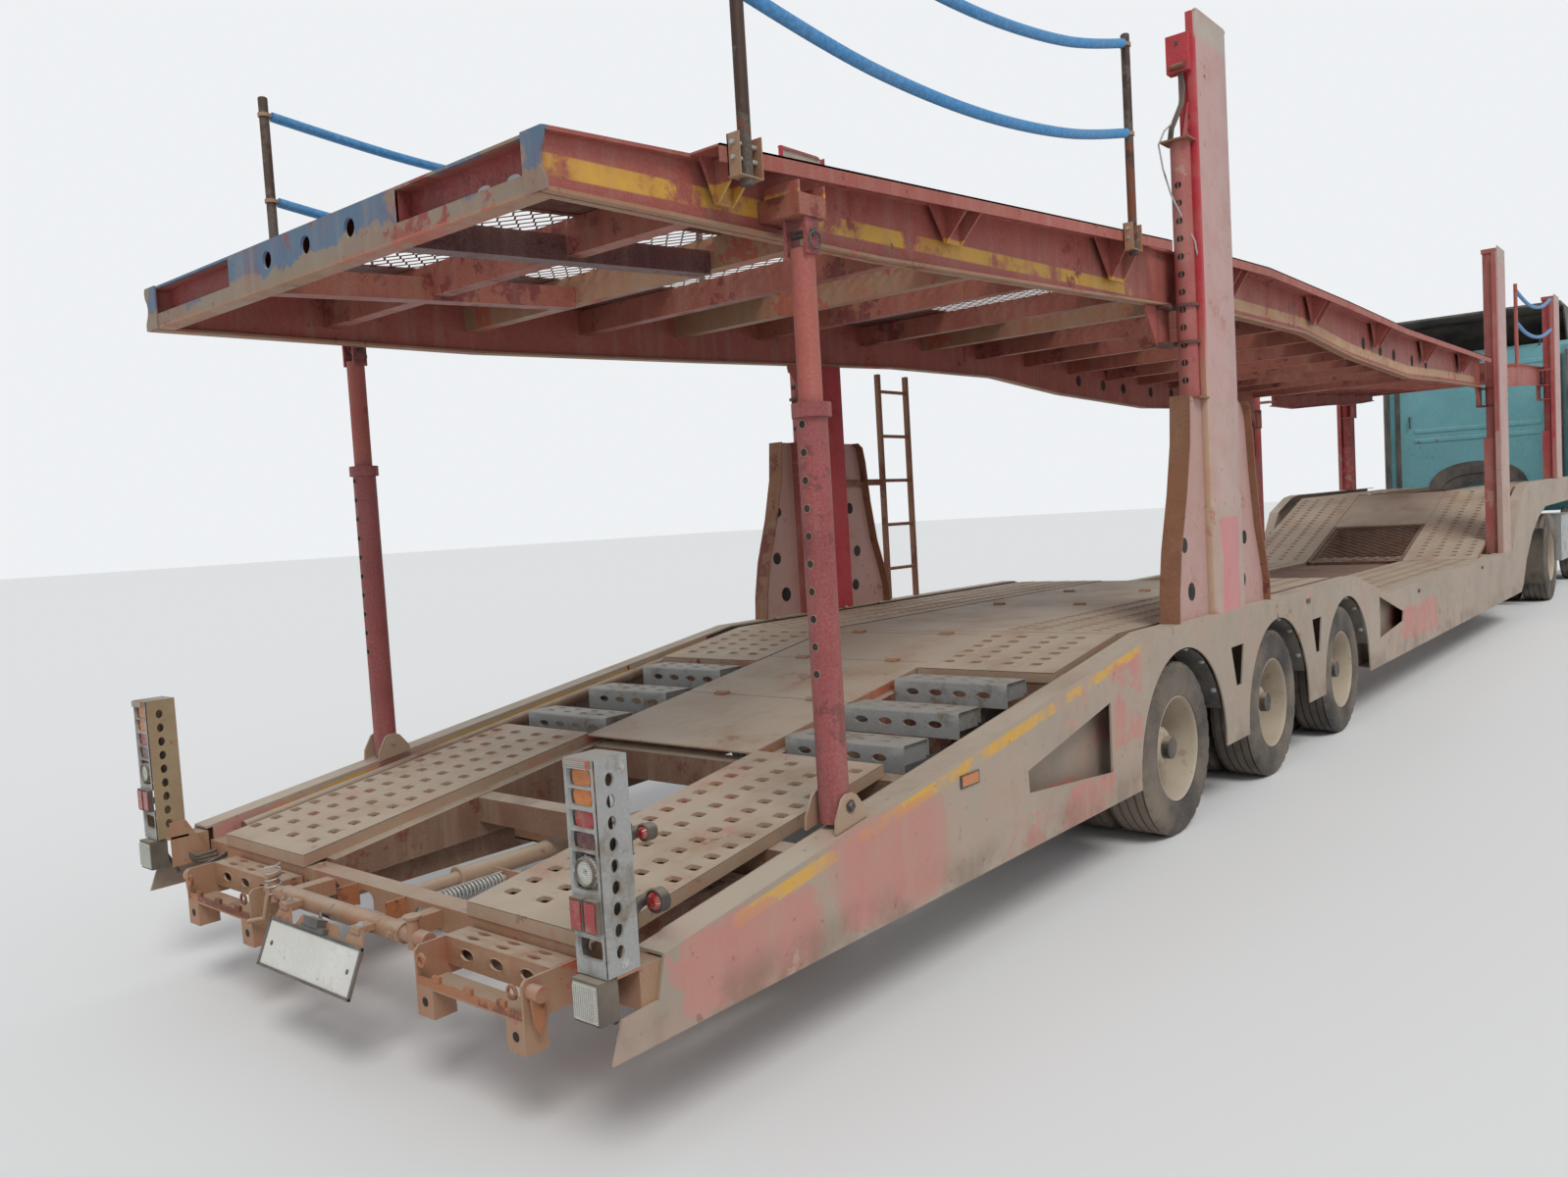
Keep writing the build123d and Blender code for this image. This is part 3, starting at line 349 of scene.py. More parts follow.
class Finish:
    """A material being made; its methods add nodes and return their outputs."""

    def __init__(self, name, rough=0.6, metal=0.0, gloss=0.5):
        self.material = bpy.data.materials.new(name)
        self.material.use_nodes = True
        self.tree = self.material.node_tree
        self.shader = self.tree.nodes["Principled BSDF"]
        self.shader.inputs["Roughness"].default_value = rough
        self.shader.inputs["Metallic"].default_value = metal
        self.shader.inputs["Specular IOR Level"].default_value = gloss
        coordinates = self.tree.nodes.new("ShaderNodeTexCoord")
        self.place = coordinates.outputs["Object"]
        self.normal = coordinates.outputs["Normal"]
        self.height = None

    def node(self, kind, inputs=(), **settings):
        made = self.tree.nodes.new(kind)
        for key, value in settings.items():
            setattr(made, key, value)
        for key, value in dict(inputs).items():
            if isinstance(value, bpy.types.NodeSocket):
                self.tree.links.new(value, made.inputs[key])
            else:
                made.inputs[key].default_value = value
        return made

    def stretch(self, scale):
        """Positions with each axis scaled, for streaks and bands."""
        return self.node("ShaderNodeVectorMath", {0: self.place, 1: scale},
                         operation="MULTIPLY").outputs[0]

    def noise(self, scale, detail=3.0, roughness=0.55, place=None, shift=0.0):
        moved = place or self.place
        if shift:
            moved = self.node("ShaderNodeVectorMath", {0: moved, 1: (shift, shift, shift)},
                              operation="ADD").outputs[0]
        return self.node("ShaderNodeTexNoise", {"Vector": moved, "Scale": scale, "Detail": detail,
                                                "Roughness": roughness}).outputs["Fac"]

    def cells(self, scale, feature="F1", place=None):
        return self.node("ShaderNodeTexVoronoi", {"Vector": place or self.place, "Scale": scale},
                         feature=feature).outputs["Distance"]

    def step(self, value, low, high):
        """0 below low, 1 above high, smooth between."""
        made = self.node("ShaderNodeMapRange", {"Value": value, "From Min": low, "From Max": high},
                         interpolation_type="SMOOTHSTEP")
        return made.outputs["Result"]

    def fade(self, value, low, high):
        """1 below low, 0 above high, smooth between."""
        return self.sums("SUBTRACT", 1.0, self.step(value, low, high))

    def wider(self, low, high):
        """1 further than high from the centre plane, 0 nearer than low."""
        return self.step(self.sums("ABSOLUTE", self.along("Y")), low, high)

    def sums(self, operation, a, b=0.0):
        return self.node("ShaderNodeMath", {0: a, 1: b}, operation=operation).outputs[0]

    def along(self, axis, vector=None):
        parts = self.node("ShaderNodeSeparateXYZ", {0: vector or self.place})
        return parts.outputs[axis]

    def blend(self, share, under, over):
        """The under colour, with share of the over colour laid on it."""
        made = self.node("ShaderNodeMix", data_type="RGBA")
        for socket, value in ((made.inputs[0], share), (made.inputs[6], under),
                              (made.inputs[7], over)):
            if isinstance(value, bpy.types.NodeSocket):
                self.tree.links.new(value, socket)
            else:
                socket.default_value = value
        return made.outputs[2]

    def facing_up(self, low=0.35, high=0.95):
        return self.step(self.along("Z", self.normal), low, high)

    def wear(self, height, depth):
        """Bump the surface by a height map; depth is in metres."""
        bump = self.node("ShaderNodeBump", {"Height": height, "Distance": depth, "Strength": 1.0})
        if self.height is not None:
            self.tree.links.new(self.height, bump.inputs["Normal"])
        self.height = bump.outputs["Normal"]

    def done(self, colour, rough=None):
        self.tree.links.new(colour, self.shader.inputs["Base Color"])
        if rough is not None:
            self.tree.links.new(rough, self.shader.inputs["Roughness"])
        if self.height is not None:
            self.tree.links.new(self.height, self.shader.inputs["Normal"])
        return self.material


DUST = srgb(168, 152, 134)
PALE_DUST = srgb(186, 173, 156)
RUST = srgb(112, 62, 38)
DARK_RUST = srgb(62, 38, 28)

# %% [markdown]
# ## Worn paint
# Most of the lorry is one paint job in several colours under years of road dust. The paint varies
# slowly from patch to patch, chips show an under colour, rust gathers in blotches, and dust lies
# on whatever faces up. One function takes the colours and the amounts, so that beams, posts and
# panels differ in their numbers alone.

# %% Worn paint
def worn_paint(name, paint, under, chips=0.30, dust=0.5, rust=0.25, rough=0.62, dust_colour=DUST,
               marks=None):
    """Paint with small chips to an under colour, rust blotches, streaks and dust; marks may lay
    stripes and patches on the paint before it wears."""
    f = Finish(name, rough)
    broad = f.noise(0.9, 4.0, 0.6)
    fine = f.noise(23.0, 5.0, 0.65)
    grain = f.noise(140.0, 3.0, 0.7)
    deep = tuple(c * 0.70 for c in paint[:3]) + (1.0,)
    colour = f.blend(f.sums("MULTIPLY", f.step(broad, 0.35, 0.75), 0.7), paint, deep)
    colour = f.blend(f.sums("MULTIPLY", f.step(grain, 0.35, 0.75), 0.25), colour, dust_colour)
    if marks:
        colour = marks(f, colour)
    faded = f.noise(5.5, 5.0, 0.6, shift=2.3)
    colour = f.blend(f.sums("MULTIPLY", f.step(faded, 0.40, 0.75), 0.45), colour, under)
    flake = f.sums("ADD", f.noise(2.1, 3.0, 0.5, shift=6.0),
                   f.sums("MULTIPLY", f.noise(17.0, 6.0, 0.68), 0.75))
    colour = f.blend(f.step(flake, 1.07 - chips * 0.55, 1.12 - chips * 0.55), colour, under)
    blotch = f.sums("ADD", f.noise(2.6, 4.0, 0.6, shift=4.7),
                    f.sums("MULTIPLY", f.noise(14.0, 7.0, 0.7, shift=1.9), 0.75))
    colour = f.blend(f.step(blotch, 1.10 - rust * 0.5, 1.18 - rust * 0.5), colour, RUST)
    streaks = f.noise(1.0, 4.0, 0.6, place=f.stretch((14.0, 14.0, 1.1)))
    colour = f.blend(f.sums("MULTIPLY", f.step(streaks, 0.45, 0.75), dust * 0.55), colour,
                     dust_colour)
    lying = f.sums("MULTIPLY", f.facing_up(), f.step(f.noise(3.1, 5.0, 0.6, shift=9.1), 0.2, 0.6))
    colour = f.blend(f.sums("MULTIPLY", lying, min(1.0, dust * 1.3)), colour, PALE_DUST)
    specks = f.sums("MULTIPLY", f.step(fine, 0.64, 0.70), 0.4)
    colour = f.blend(specks, colour, DARK_RUST)
    f.wear(f.sums("ADD", f.sums("MULTIPLY", flake, 0.5), f.sums("MULTIPLY", grain, 0.6)), 0.0012)
    roughness = f.sums("ADD", f.sums("MULTIPLY", f.step(blotch, 0.8, 1.1), 0.25), rough - 0.1)
    return f.done(colour, roughness)


def band(f, axis, low, high, soft=0.003):
    """1 between two heights or stations, 0 elsewhere."""
    value = f.along(axis)
    rise = f.step(value, low - soft, low + soft)
    fall = f.step(value, high - soft, high + soft)
    return f.sums("SUBTRACT", rise, fall)


def both(f, a, b):
    return f.sums("MULTIPLY", a, b)


def sloping_band(f, origin, slope, low, high, start, end):
    """A stripe that follows a sloping edge: heights low to high above the line through origin."""
    rise = f.sums("MULTIPLY", f.sums("SUBTRACT", f.along("X"), at(origin[0])), slope)
    above = f.sums("SUBTRACT", f.along("Z"), f.sums("ADD", rise, origin[1]))
    stripe = f.sums("SUBTRACT", f.step(above, low - 0.003, low + 0.003),
                    f.step(above, high - 0.003, high + 0.003))
    return both(f, stripe, band(f, "X", at(start), at(end), 0.02))


def panel_marks(f, colour):
    """The side member's yellow stripe, salmon patches and darker skirt of road dirt."""
    stripe = sloping_band(f, PANEL_TOP[0], PANEL_SLOPE, -0.058, -0.018, 0.42, 2.95)
    broken = f.step(f.noise(3.2, 6.0, 0.7, shift=5.1), 0.40, 0.50)
    colour = f.blend(both(f, stripe, broken), colour, YELLOW)
    for start, end, low, high, strong in SALMON_PATCHES:
        patch = both(f, band(f, "X", at(start), at(end), 0.12), band(f, "Z", low, high, 0.06))
        ragged = f.sums("ADD", f.sums("MULTIPLY", f.noise(4.0, 7.0, 0.75, shift=1.7), 2.2), patch)
        patch = both(f, patch, f.step(ragged, 2.02 - strong, 2.08 - strong))
        colour = f.blend(f.sums("MULTIPLY", patch, 0.8), colour, SALMON)
    skirt = both(f, band(f, "Z", 0.0, 0.40, 0.05), f.step(f.noise(5.0, 5.0, 0.6), 0.40, 0.65))
    return f.blend(f.sums("MULTIPLY", skirt, 0.6), colour, srgb(118, 98, 82))


def deck_marks(f, colour):
    """The upper deck's blue-grey rear beam with tan drips and the yellow stripes on its side."""
    rear = band(f, "X", at(0.05), at(0.122), 0.004)
    colour = f.blend(rear, colour, srgb(84, 108, 132))
    wave = f.sums("MULTIPLY", f.noise(7.0, 5.0, 0.6), 0.19)
    bare = f.fade(f.sums("SUBTRACT", f.along("Z"), wave), 2.262, 2.270)
    patches = f.step(f.noise(2.3, 6.0, 0.65, shift=4.4), 0.54, 0.58)
    colour = f.blend(both(f, rear, f.sums("MAXIMUM", bare, patches)), colour, srgb(138, 122, 106))
    stripe = sloping_band(f, (0.110, 2.340), 0.022, 0.0, 0.052, 0.12, 3.4)
    broken = f.step(f.noise(4.0, 6.0, 0.7, shift=8.0), 0.38, 0.50)
    return f.blend(both(f, both(f, stripe, f.wider(1.0745, 1.0755)), broken), colour, YELLOW)


def post_marks(f, colour):
    """The main posts' marks: the outer plate is bleached to a pale pinkish grey with a lighter
    crown, a sandy foot and a salmon patch; its folded edge is crimson above and cream below, and
    the forward posts' boxes are crimson."""
    height, plate = f.along("Z"), f.wider(1.2400, 1.2405)
    rim = band(f, "X", at(3.800), at(3.829), 0.002)
    bleached = f.sums("ADD", both(f, f.step(height, 1.15, 1.55), 0.35), 0.5)
    gusset = both(f, f.fade(height, 1.955, 1.970), f.wider(1.2055, 1.2060))
    crimson_edge = both(f, both(f, rim, f.wider(1.2060, 1.2065)), f.step(height, 2.0, 2.4))
    cream_edge = both(f, both(f, rim, f.wider(1.2160, 1.2170)), f.fade(height, 1.7, 2.5))
    forward_box = both(f, f.step(f.along("X"), at(11.724), at(11.728)),
                       f.sums("SUBTRACT", 1.0, plate))
    ragged = f.sums("ADD", f.along("X"), both(f, f.noise(5.0, 4.0, 0.6), 0.08))
    patch = both(f, f.step(ragged, at(3.955), at(3.965)), f.fade(ragged, at(4.180), at(4.190)))
    for share, amount, tint in (
            (plate, bleached, (194, 164, 160)), (gusset, 0.75, (186, 160, 152)),
            (crimson_edge, 0.9, (182, 40, 56)), (cream_edge, 0.7, (190, 164, 128)),
            (forward_box, 0.65, (176, 44, 56)),
            (both(f, plate, f.step(height, 3.58, 3.64)), 0.8, (176, 172, 160)),
            (both(f, plate, band(f, "Z", 0.9, 1.45, 0.02)), 0.7, (178, 158, 142)),
            (both(f, both(f, plate, patch), band(f, "Z", 0.9, 1.40, 0.01)), 0.85,
             (204, 124, 130))):
        colour = f.blend(both(f, share, amount), colour, srgb(*tint))
    return colour


YELLOW = srgb(208, 160, 66)
SALMON = srgb(190, 122, 114)
PANEL_TOP = ((0.175, 0.514), (3.058, 0.948))
PANEL_SLOPE = (PANEL_TOP[1][1] - PANEL_TOP[0][1]) / (PANEL_TOP[1][0] - PANEL_TOP[0][0])
SALMON_PATCHES = (
    # start, end, low, high, how solid
    (0.16, 0.80, 0.30, 0.55, 0.25), (0.82, 1.42, 0.32, 0.64, 0.42), (1.70, 2.70, 0.28, 0.48, 0.05),
    (2.60, 3.00, 0.50, 0.90, 0.05), (7.30, 8.60, 0.36, 0.66, 0.10),
)

PAINTS = {
    # name: paint, under colour, chips, dust, rust
    "trailer_paint": ((168, 153, 138), (178, 142, 126), 0.04, 0.7, 0.04),
    "chassis_paint": ((124, 92, 72), (112, 64, 52), 0.15, 0.6, 0.2),
    "post_paint": ((168, 78, 76), (176, 128, 116), 0.10, 0.45, 0.08),
    "deck_paint": ((170, 84, 76), (140, 66, 56), 0.06, 0.5, 0.10),
    "rusty_steel": ((164, 124, 94), (172, 92, 72), 0.16, 0.5, 0.12),
    "track_steel": ((168, 142, 118), (170, 120, 100), 0.12, 0.6, 0.06),
    "pink_plate": ((176, 136, 114), (184, 120, 104), 0.20, 0.4, 0.06),
    "expanded_metal": ((104, 68, 54), (98, 48, 42), 0.3, 0.2, 0.4),
    "bare_rusty_tube": ((74, 62, 58), (62, 38, 28), 0.4, 0.2, 0.3),
    "axle_black": ((64, 60, 58), (48, 44, 42), 0.2, 0.6, 0.1),
    "engine_iron": ((92, 92, 90), (64, 60, 58), 0.3, 0.3, 0.1),
    "plate_white": ((226, 226, 222), (206, 202, 194), 0.1, 0.15, 0.0),
    "cab_teal": ((112, 184, 194), (96, 166, 176), 0.05, 0.2, 0.0),
    "wheel_paint": ((186, 172, 152), (158, 142, 124), 0.15, 0.6, 0.08),
    "red_box": ((150, 52, 54), (120, 52, 50), 0.10, 0.3, 0.12),
    "under_paint": ((160, 86, 68), (122, 58, 54), 0.14, 0.35, 0.14),
    "crimson_box": ((186, 34, 52), (150, 44, 52), 0.05, 0.05, 0.06),
    "brown_flange": ((136, 88, 58), (110, 58, 46), 0.20, 0.3, 0.12),
    "sleeve_paint": ((150, 66, 70), (122, 62, 62), 0.10, 0.35, 0.10),
    "ochre_zinc": ((156, 134, 104), (118, 92, 66), 0.2, 0.3, 0.14),
    "faded_stripe": ((202, 160, 118), (176, 96, 84), 0.10, 0.4, 0.10),
    "maroon_bar": ((96, 48, 50), (70, 38, 40), 0.10, 0.3, 0.10),
    "orange_rust": ((172, 104, 58), (120, 66, 44), 0.3, 0.2, 0.5),
}
MARKS = {"trailer_paint": panel_marks, "post_paint": post_marks, "deck_paint": deck_marks}
ROUGHNESS = {"cab_teal": 0.32}
paints = {name: worn_paint(name, srgb(*paint), srgb(*under), chips, dust, rust,
                           ROUGHNESS.get(name, 0.62), marks=MARKS.get(name))
          for name, (paint, under, chips, dust, rust) in PAINTS.items()}
print(len(paints), "paints")

# %% [markdown]
# ## Zinc, cast iron, rubber, plastic and glass
# What isn't painted is quieter: galvanised sheet shows grey spangles and brown drips, greased iron
# is dark and shiny in patches, rubber and plastic are matt with dust in their low places.

# %% Unpainted finishes
def zinc(name, level=168):
    """Galvanised sheet gone dull, with spangles and brown drips."""
    f = Finish(name, 0.5, 0.35)
    spangle = f.cells(90.0)
    colour = f.blend(f.step(spangle, 0.1, 0.6), srgb(level, level, level - 4),
                     srgb(level - 9, level - 8, level - 9))
    dirt = f.noise(6.0, 6.0, 0.65)
    colour = f.blend(f.step(dirt, 0.50, 0.70), colour, srgb(124, 110, 94))
    spots = f.noise(48.0, 4.0, 0.7)
    colour = f.blend(f.step(spots, 0.66, 0.72), colour, RUST)
    colour = f.blend(f.sums("MULTIPLY", f.facing_up(), 0.35), colour, PALE_DUST)
    f.wear(spots, 0.0006)
    return f.done(colour, f.sums("ADD", f.sums("MULTIPLY", dirt, 0.4), 0.3))


def matt(name, colour, dust=0.4, rough=0.75, scale=30.0, depth=0.0008):
    """Rubber, plastic or cloth: one colour, fine grain, dust in patches and on top."""
    f = Finish(name, rough)
    patches = f.noise(2.6, 5.0, 0.6)
    grain = f.noise(scale, 4.0, 0.7)
    light = tuple(min(1.0, c * 1.5 + 0.01) for c in colour[:3]) + (1.0,)
    shade = f.blend(f.step(grain, 0.35, 0.7), colour, light)
    shade = f.blend(f.sums("MULTIPLY", f.step(patches, 0.3, 0.7), dust), shade, DUST)
    shade = f.blend(f.sums("MULTIPLY", f.facing_up(), dust), shade, PALE_DUST)
    f.wear(grain, depth)
    return f.done(shade, f.sums("ADD", f.sums("MULTIPLY", patches, 0.2), rough - 0.1))


def lens(name, colour, rough=0.22):
    """A ribbed lamp glass: fine rings of ribs under a clear coat."""
    f = Finish(name, rough)
    ribs = f.node("ShaderNodeTexWave", {"Vector": f.place, "Scale": 70.0, "Distortion": 0.0},
                  bands_direction="Z").outputs["Fac"]
    dirt = f.noise(30.0, 4.0, 0.6)
    deep = tuple(c * 0.55 for c in colour[:3]) + (1.0,)
    shade = f.blend(ribs, colour, deep)
    shade = f.blend(f.sums("MULTIPLY", f.step(dirt, 0.45, 0.7), 0.35), shade, DUST)
    f.wear(ribs, 0.0012)
    f.shader.inputs["Coat Weight"].default_value = 0.6
    f.shader.inputs["Coat Roughness"].default_value = 0.12
    return f.done(shade)


def clear_glass(name):
    """Window glass: smooth, slightly green and see-through."""
    f = Finish(name, 0.04)
    f.shader.inputs["Transmission Weight"].default_value = 0.9
    smudge = f.noise(3.0, 4.0, 0.6)
    colour = f.blend(f.sums("MULTIPLY", f.step(smudge, 0.5, 0.8), 0.2),
                     srgb(196, 214, 210), srgb(170, 176, 170))
    return f.done(colour)


plain = {
    "galvanised_steel": zinc("galvanised_steel"),
    "tank_aluminium": zinc("tank_aluminium", 186),
    "greasy_cast_iron": matt("greasy_cast_iron", srgb(44, 40, 36), 0.2, 0.4, 60.0, 0.001),
    "dark_plastic": matt("dark_plastic", srgb(58, 60, 62), 0.4, 0.55),
    "black_rubber": matt("black_rubber", srgb(40, 38, 37), 0.4, 0.85),
    "grey_fabric": matt("grey_fabric", srgb(70, 72, 76), 0.1, 0.95, 400.0, 0.0015),
    "blue_hose": matt("blue_hose", srgb(52, 124, 178), 0.12, 0.5, 60.0),
    "tyre_rubber": matt("tyre_rubber", srgb(58, 55, 53), 0.48, 0.9, 90.0, 0.0012),
    "lamp_lens": lens("lamp_lens", srgb(176, 34, 30)),
    "clear_glass": clear_glass("clear_glass"),
    "amber_lens": lens("amber_lens", srgb(226, 128, 28)),
    "white_lens": lens("white_lens", srgb(214, 214, 206)),
    "dark_red_lens": lens("dark_red_lens", srgb(96, 20, 24)),
    # The near-black finish below is painted shade, laid on thin discs and plates that stand in for
    # the dark inside of holes and slots.
    "hole_shade_black": matt("hole_shade_black", srgb(22, 20, 19), 0.1, 0.95),
    "bright_zinc": zinc("bright_zinc", 190),
}
finishes = {**paints, **plain}
for part in frame["record"]["subparts"]:
    node = bpy.data.objects.get(part["node"])
    if node is not None:
        node.data.materials.clear()
        node.data.materials.append(finishes[part["material_slot"]])
print(len(finishes), "finishes laid on the CAD pieces")

# %% [markdown]
# ## Guard ropes
# Beside the walkways hang ropes threaded through old blue hose, one high and one low on each side.
# A hose of that thickness sags in one long lazy curve. Each is a smooth spline through the same
# points that the CAD part uses, with a round section.

# %% Guard ropes
ROPE_RADIUS = 0.019
POST_RADIUS = 0.018
ROPE_REACH = POST_RADIUS + 0.010 + 0.0024
GUARD_Y = 1.230
HEAD_LIFT = 0.240
GUARD_STATIONS = (0.660, 3.080)
HEAD_GUARDS = (12.750, 15.300)
ROPE_ROUTES = {
    "high": ((0.00, 3.200), (0.16, 3.162), (0.34, 3.140), (0.52, 3.156), (0.70, 3.205),
             (0.86, 3.275), (1.00, 3.370)),
    "low": ((0.00, 2.870), (0.16, 2.823), (0.34, 2.810), (0.52, 2.824), (0.70, 2.868),
            (0.86, 2.930), (1.00, 3.010)),
}


def guard_rope(name, node, stations, side, lift, body):
    """One hose from post to post as a spline; share is measured along the span."""
    start, end = stations[0] + ROPE_REACH, stations[1] - ROPE_REACH
    route = [(at(start + (end - start) * share), side * GUARD_Y, z + lift)
             for share, z in ROPE_ROUTES[node]]
    curve = bpy.data.curves.new(name, "CURVE")
    curve.dimensions = "3D"
    curve.bevel_depth = ROPE_RADIUS
    curve.bevel_resolution = 4
    curve.resolution_u = 10
    curve.use_fill_caps = True
    spline = curve.splines.new("NURBS")
    spline.points.add(len(route) - 1)
    for point, place in zip(spline.points, route):
        point.co = (*place, 1.0)
    spline.order_u = 3
    spline.use_endpoint_u = True
    curve.materials.append(finishes["blue_hose"])
    piece = bpy.data.objects.new(name, curve)
    bpy.context.collection.objects.link(piece)
    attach(piece, body)
    line = [Vector(p) for p in route]
    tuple(route[0])
    return piece


for hand, side in (("right", -1), ("left", 1)):
    for level in ROPE_ROUTES:
        hose = guard_rope(f"hose_{hand}_{level}", level, GUARD_STATIONS, side, 0.0, "upper_deck")
        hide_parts(f"guard_rope_{hand}_{level}")
        hose = guard_rope(f"head_hose_{hand}_{level}", level, HEAD_GUARDS, side, HEAD_LIFT,
                          "head_deck")
        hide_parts(f"head_rope_{hand}_{level}")
print("eight hoses hung")

# %% [markdown]
# ## Slotted sheet
# Anti-slip decking is sheet steel with rows of pressed slots, each with a raised lip that grips a
# tyre. A slot is one cell of a grid: a flat border, a lip that rises to the edge of the hole, and
# a wall that drops through the sheet. The same cell serves tracks, steps, ramps and wheel discs,
# because the place function decides where a point of the flat pattern lands.

# %% Cells with a hole
RING = 12


def spoke(k):
    """The way to point k of the ring, and the longer of its two parts."""
    turn = math.radians(15 + 30 * k)
    c, s = math.cos(turn), math.sin(turn)
    return c, s, max(abs(c), abs(s))


def oval(k, a, b, square=0.0):
    """Point k of a twelve-sided oval with half axes a and b; square 1 makes it a rectangle."""
    c, s, longer = spoke(k)
    return a * c / longer ** square, b * s / longer ** square


def border(k, u0, u1, v0, v1):
    """Point k of a rectangle's edge, matched to the oval: corners and thirds of the sides."""
    c, s, longer = spoke(k)
    x, y = c / longer, s / longer
    x = math.copysign(1.0, x) if abs(x) > 0.9 else math.copysign(1 / 3, x)
    y = math.copysign(1.0, y) if abs(y) > 0.9 else math.copysign(1 / 3, y)
    return (u0 + u1) / 2 + x * (u1 - u0) / 2, (v0 + v1) / 2 + y * (v1 - v0) / 2


def holed_cell(shape, place, cell, hole, lip=0.0035, depth=0.007, flare=1.5, finish=0,
               square=0.0):
    """One cell of sheet with an oval hole; cell is (u0, u1, v0, v1), hole (u, v, a, b)."""
    u, v, a, b = hole
    points = [place(*border(k, *cell), 0.0) for k in range(RING)]
    for scale, rise in ((flare, 0.0), (1.0, lip), (0.92, -depth)):
        points += [place(u + x * scale, v + y * scale, rise)
                   for x, y in (oval(k, a, b, square) for k in range(RING))]
    faces = [(i * RING + k, i * RING + (k + 1) % RING, (i + 1) * RING + (k + 1) % RING,
              (i + 1) * RING + k) for i in range(3) for k in range(RING)]
    shape.add(points, faces, finish)


def holed_sheet(shape, place, columns, rows, width, hole, **form):
    """A grid of cells: columns and rows are hole centres, width the sheet's four edges."""
    def edges(centres, low, high):
        middles = [(p + q) / 2 for p, q in zip(centres, centres[1:])]
        return [low] + middles + [high]
    us = edges(columns, width[0], width[1])
    vs = edges(rows, width[2], width[3])
    for i, u in enumerate(columns):
        for j, v in enumerate(rows):
            holed_cell(shape, place, (us[i], us[i + 1], vs[j], vs[j + 1]), (u, v, *hole), **form)


print("slotted sheet is ready")

# %% [markdown]
# ## Tracks
# The cars roll on two tracks of slotted sheet, folded down along both edges. Behind the axles the
# slots stand in four rows. The sheet bends where the deck line bends, so every run ends at a bend
# and its last slots keep clear of the fold.

# %% Tracks
TRACK_INNER = 0.455
TRACK_RUNS = (
    # start, end, outer edge, pitch, rows of slots
    (0.180, 1.420, 1.010, 0.076, (0.550, 0.690, 0.830, 0.960)),
    (2.470, 3.058, 1.094, 0.080, (0.560, 0.690, 0.840, 0.970)),
    (3.062, 6.248, 1.094, 0.080, (0.560, 0.690, 0.840, 0.970)),
    (6.252, 6.998, 1.094, 0.080, (0.560, 0.690, 0.840, 0.970)),
    (7.004, 11.098, 1.094, 0.092, (0.580, 0.730, 0.880, 1.010)),
    (11.104, 13.238, 1.094, 0.092, (0.580, 0.730, 0.880, 1.010)),
    (13.242, 16.900, 1.094, 0.110, (0.580, 0.730, 0.880, 1.010)),
)
LIP, SHEET = 0.040, 0.006
SLOT, SLOT_LIP = (0.0165, 0.026), 0.0045
tracks = Shape()
for start, end, outer, pitch, rows in TRACK_RUNS:
    count = int((end - start - 0.05) / pitch)
    first = (start + end) / 2 - pitch * (count - 1) / 2
    columns = [first + i * pitch for i in range(count)]
    for side in (-1, 1):
        def place(s, y, rise, side=side):
            return at(s), side * y, height_on(DECK_LINE, s) + rise
        holed_sheet(tracks, place, columns, rows, (start, end, TRACK_INNER, outer),
                    SLOT, lip=SLOT_LIP, flare=1.34, square=0.6)
        for last, inner, outmost in ((end, TRACK_INNER, TRACK_INNER + SHEET),
                                     (end, outer - SHEET, outer),
                                     (start + SHEET, TRACK_INNER + SHEET, outer - SHEET)):
            ribbon(tracks, DECK_LINE, start, last, LIP - 0.003, across(side, inner, outmost),
                   0.003)
tracks.make("slotted_tracks", ["track_steel"], "trailer", "track_steel",
            replaces=["track_plates"])

# %% [markdown]
# ## Step modules
# In the wells stand three zinc-plated steps a side. Each is one pressed sheet: a slotted top with
# two rows of four holes, a face towards the rear with four oblong holes, and a short lip in front.

# %% Step modules
MODULES = (1.543, 1.896, 2.249)
MODULE_TOP, MODULE_FACE = 0.152, 0.096
MODULE_INNER, MODULE_OUTER = 0.4904, 1.010
steps = Shape()
for station in MODULES:
    crown = height_on(DECK_LINE, station + MODULE_TOP / 2) + 0.006
    for side in (-1, 1):
        def top(s, y, rise, side=side):
            return at(station + s), side * y, crown + rise

        def face(y, z, rise, side=side):
            return at(station) - rise, side * y, crown - z
        rows = (0.575, 0.685, 0.795, 0.905)
        holed_sheet(steps, top, (0.045, 0.107), rows,
                    (0.008, MODULE_TOP, MODULE_INNER, MODULE_OUTER), (0.010, 0.023), lip=0.003)
        holed_sheet(steps, face, rows, (MODULE_FACE / 2,),
                    (MODULE_INNER, MODULE_OUTER, 0.008, MODULE_FACE), (0.032, 0.014), lip=0.0)
        low, high = across(side, MODULE_INNER, MODULE_OUTER)
        rounding = [(0.0, 0.008), (0.001, 0.004), (0.004, 0.001), (0.008, 0.0)]
        points = [(at(station) + a, y, crown - b) for a, b in rounding for y in (low, high)]
        steps.add(points, [(2 * i, 2 * i + 1, 2 * i + 3, 2 * i + 2) for i in range(3)], 0, ROUND)
        front = station + MODULE_TOP
        steps.block((front - 0.003, front), (low, high), (crown - 0.058, crown - 0.001))
        for y in (low + 0.012, high - 0.015):
            steps.block((station + 0.003, front - 0.003), (y, y + 0.003),
                        (crown - 0.070, crown - 0.004))
steps.make("zinc_steps", ["galvanised_steel"], "trailer", "galvanised_steel",
           replaces=["step_modules"])

# %% [markdown]
# ## Posts
# Each deck climbs on four pairs of posts. A post is a tall plate with a folded box behind it and
# a drilled column beside it, on which the deck's carriage slides. The main pair stands on wide
# gussets cut from the side member's own plate, with a flange along their curved edges.

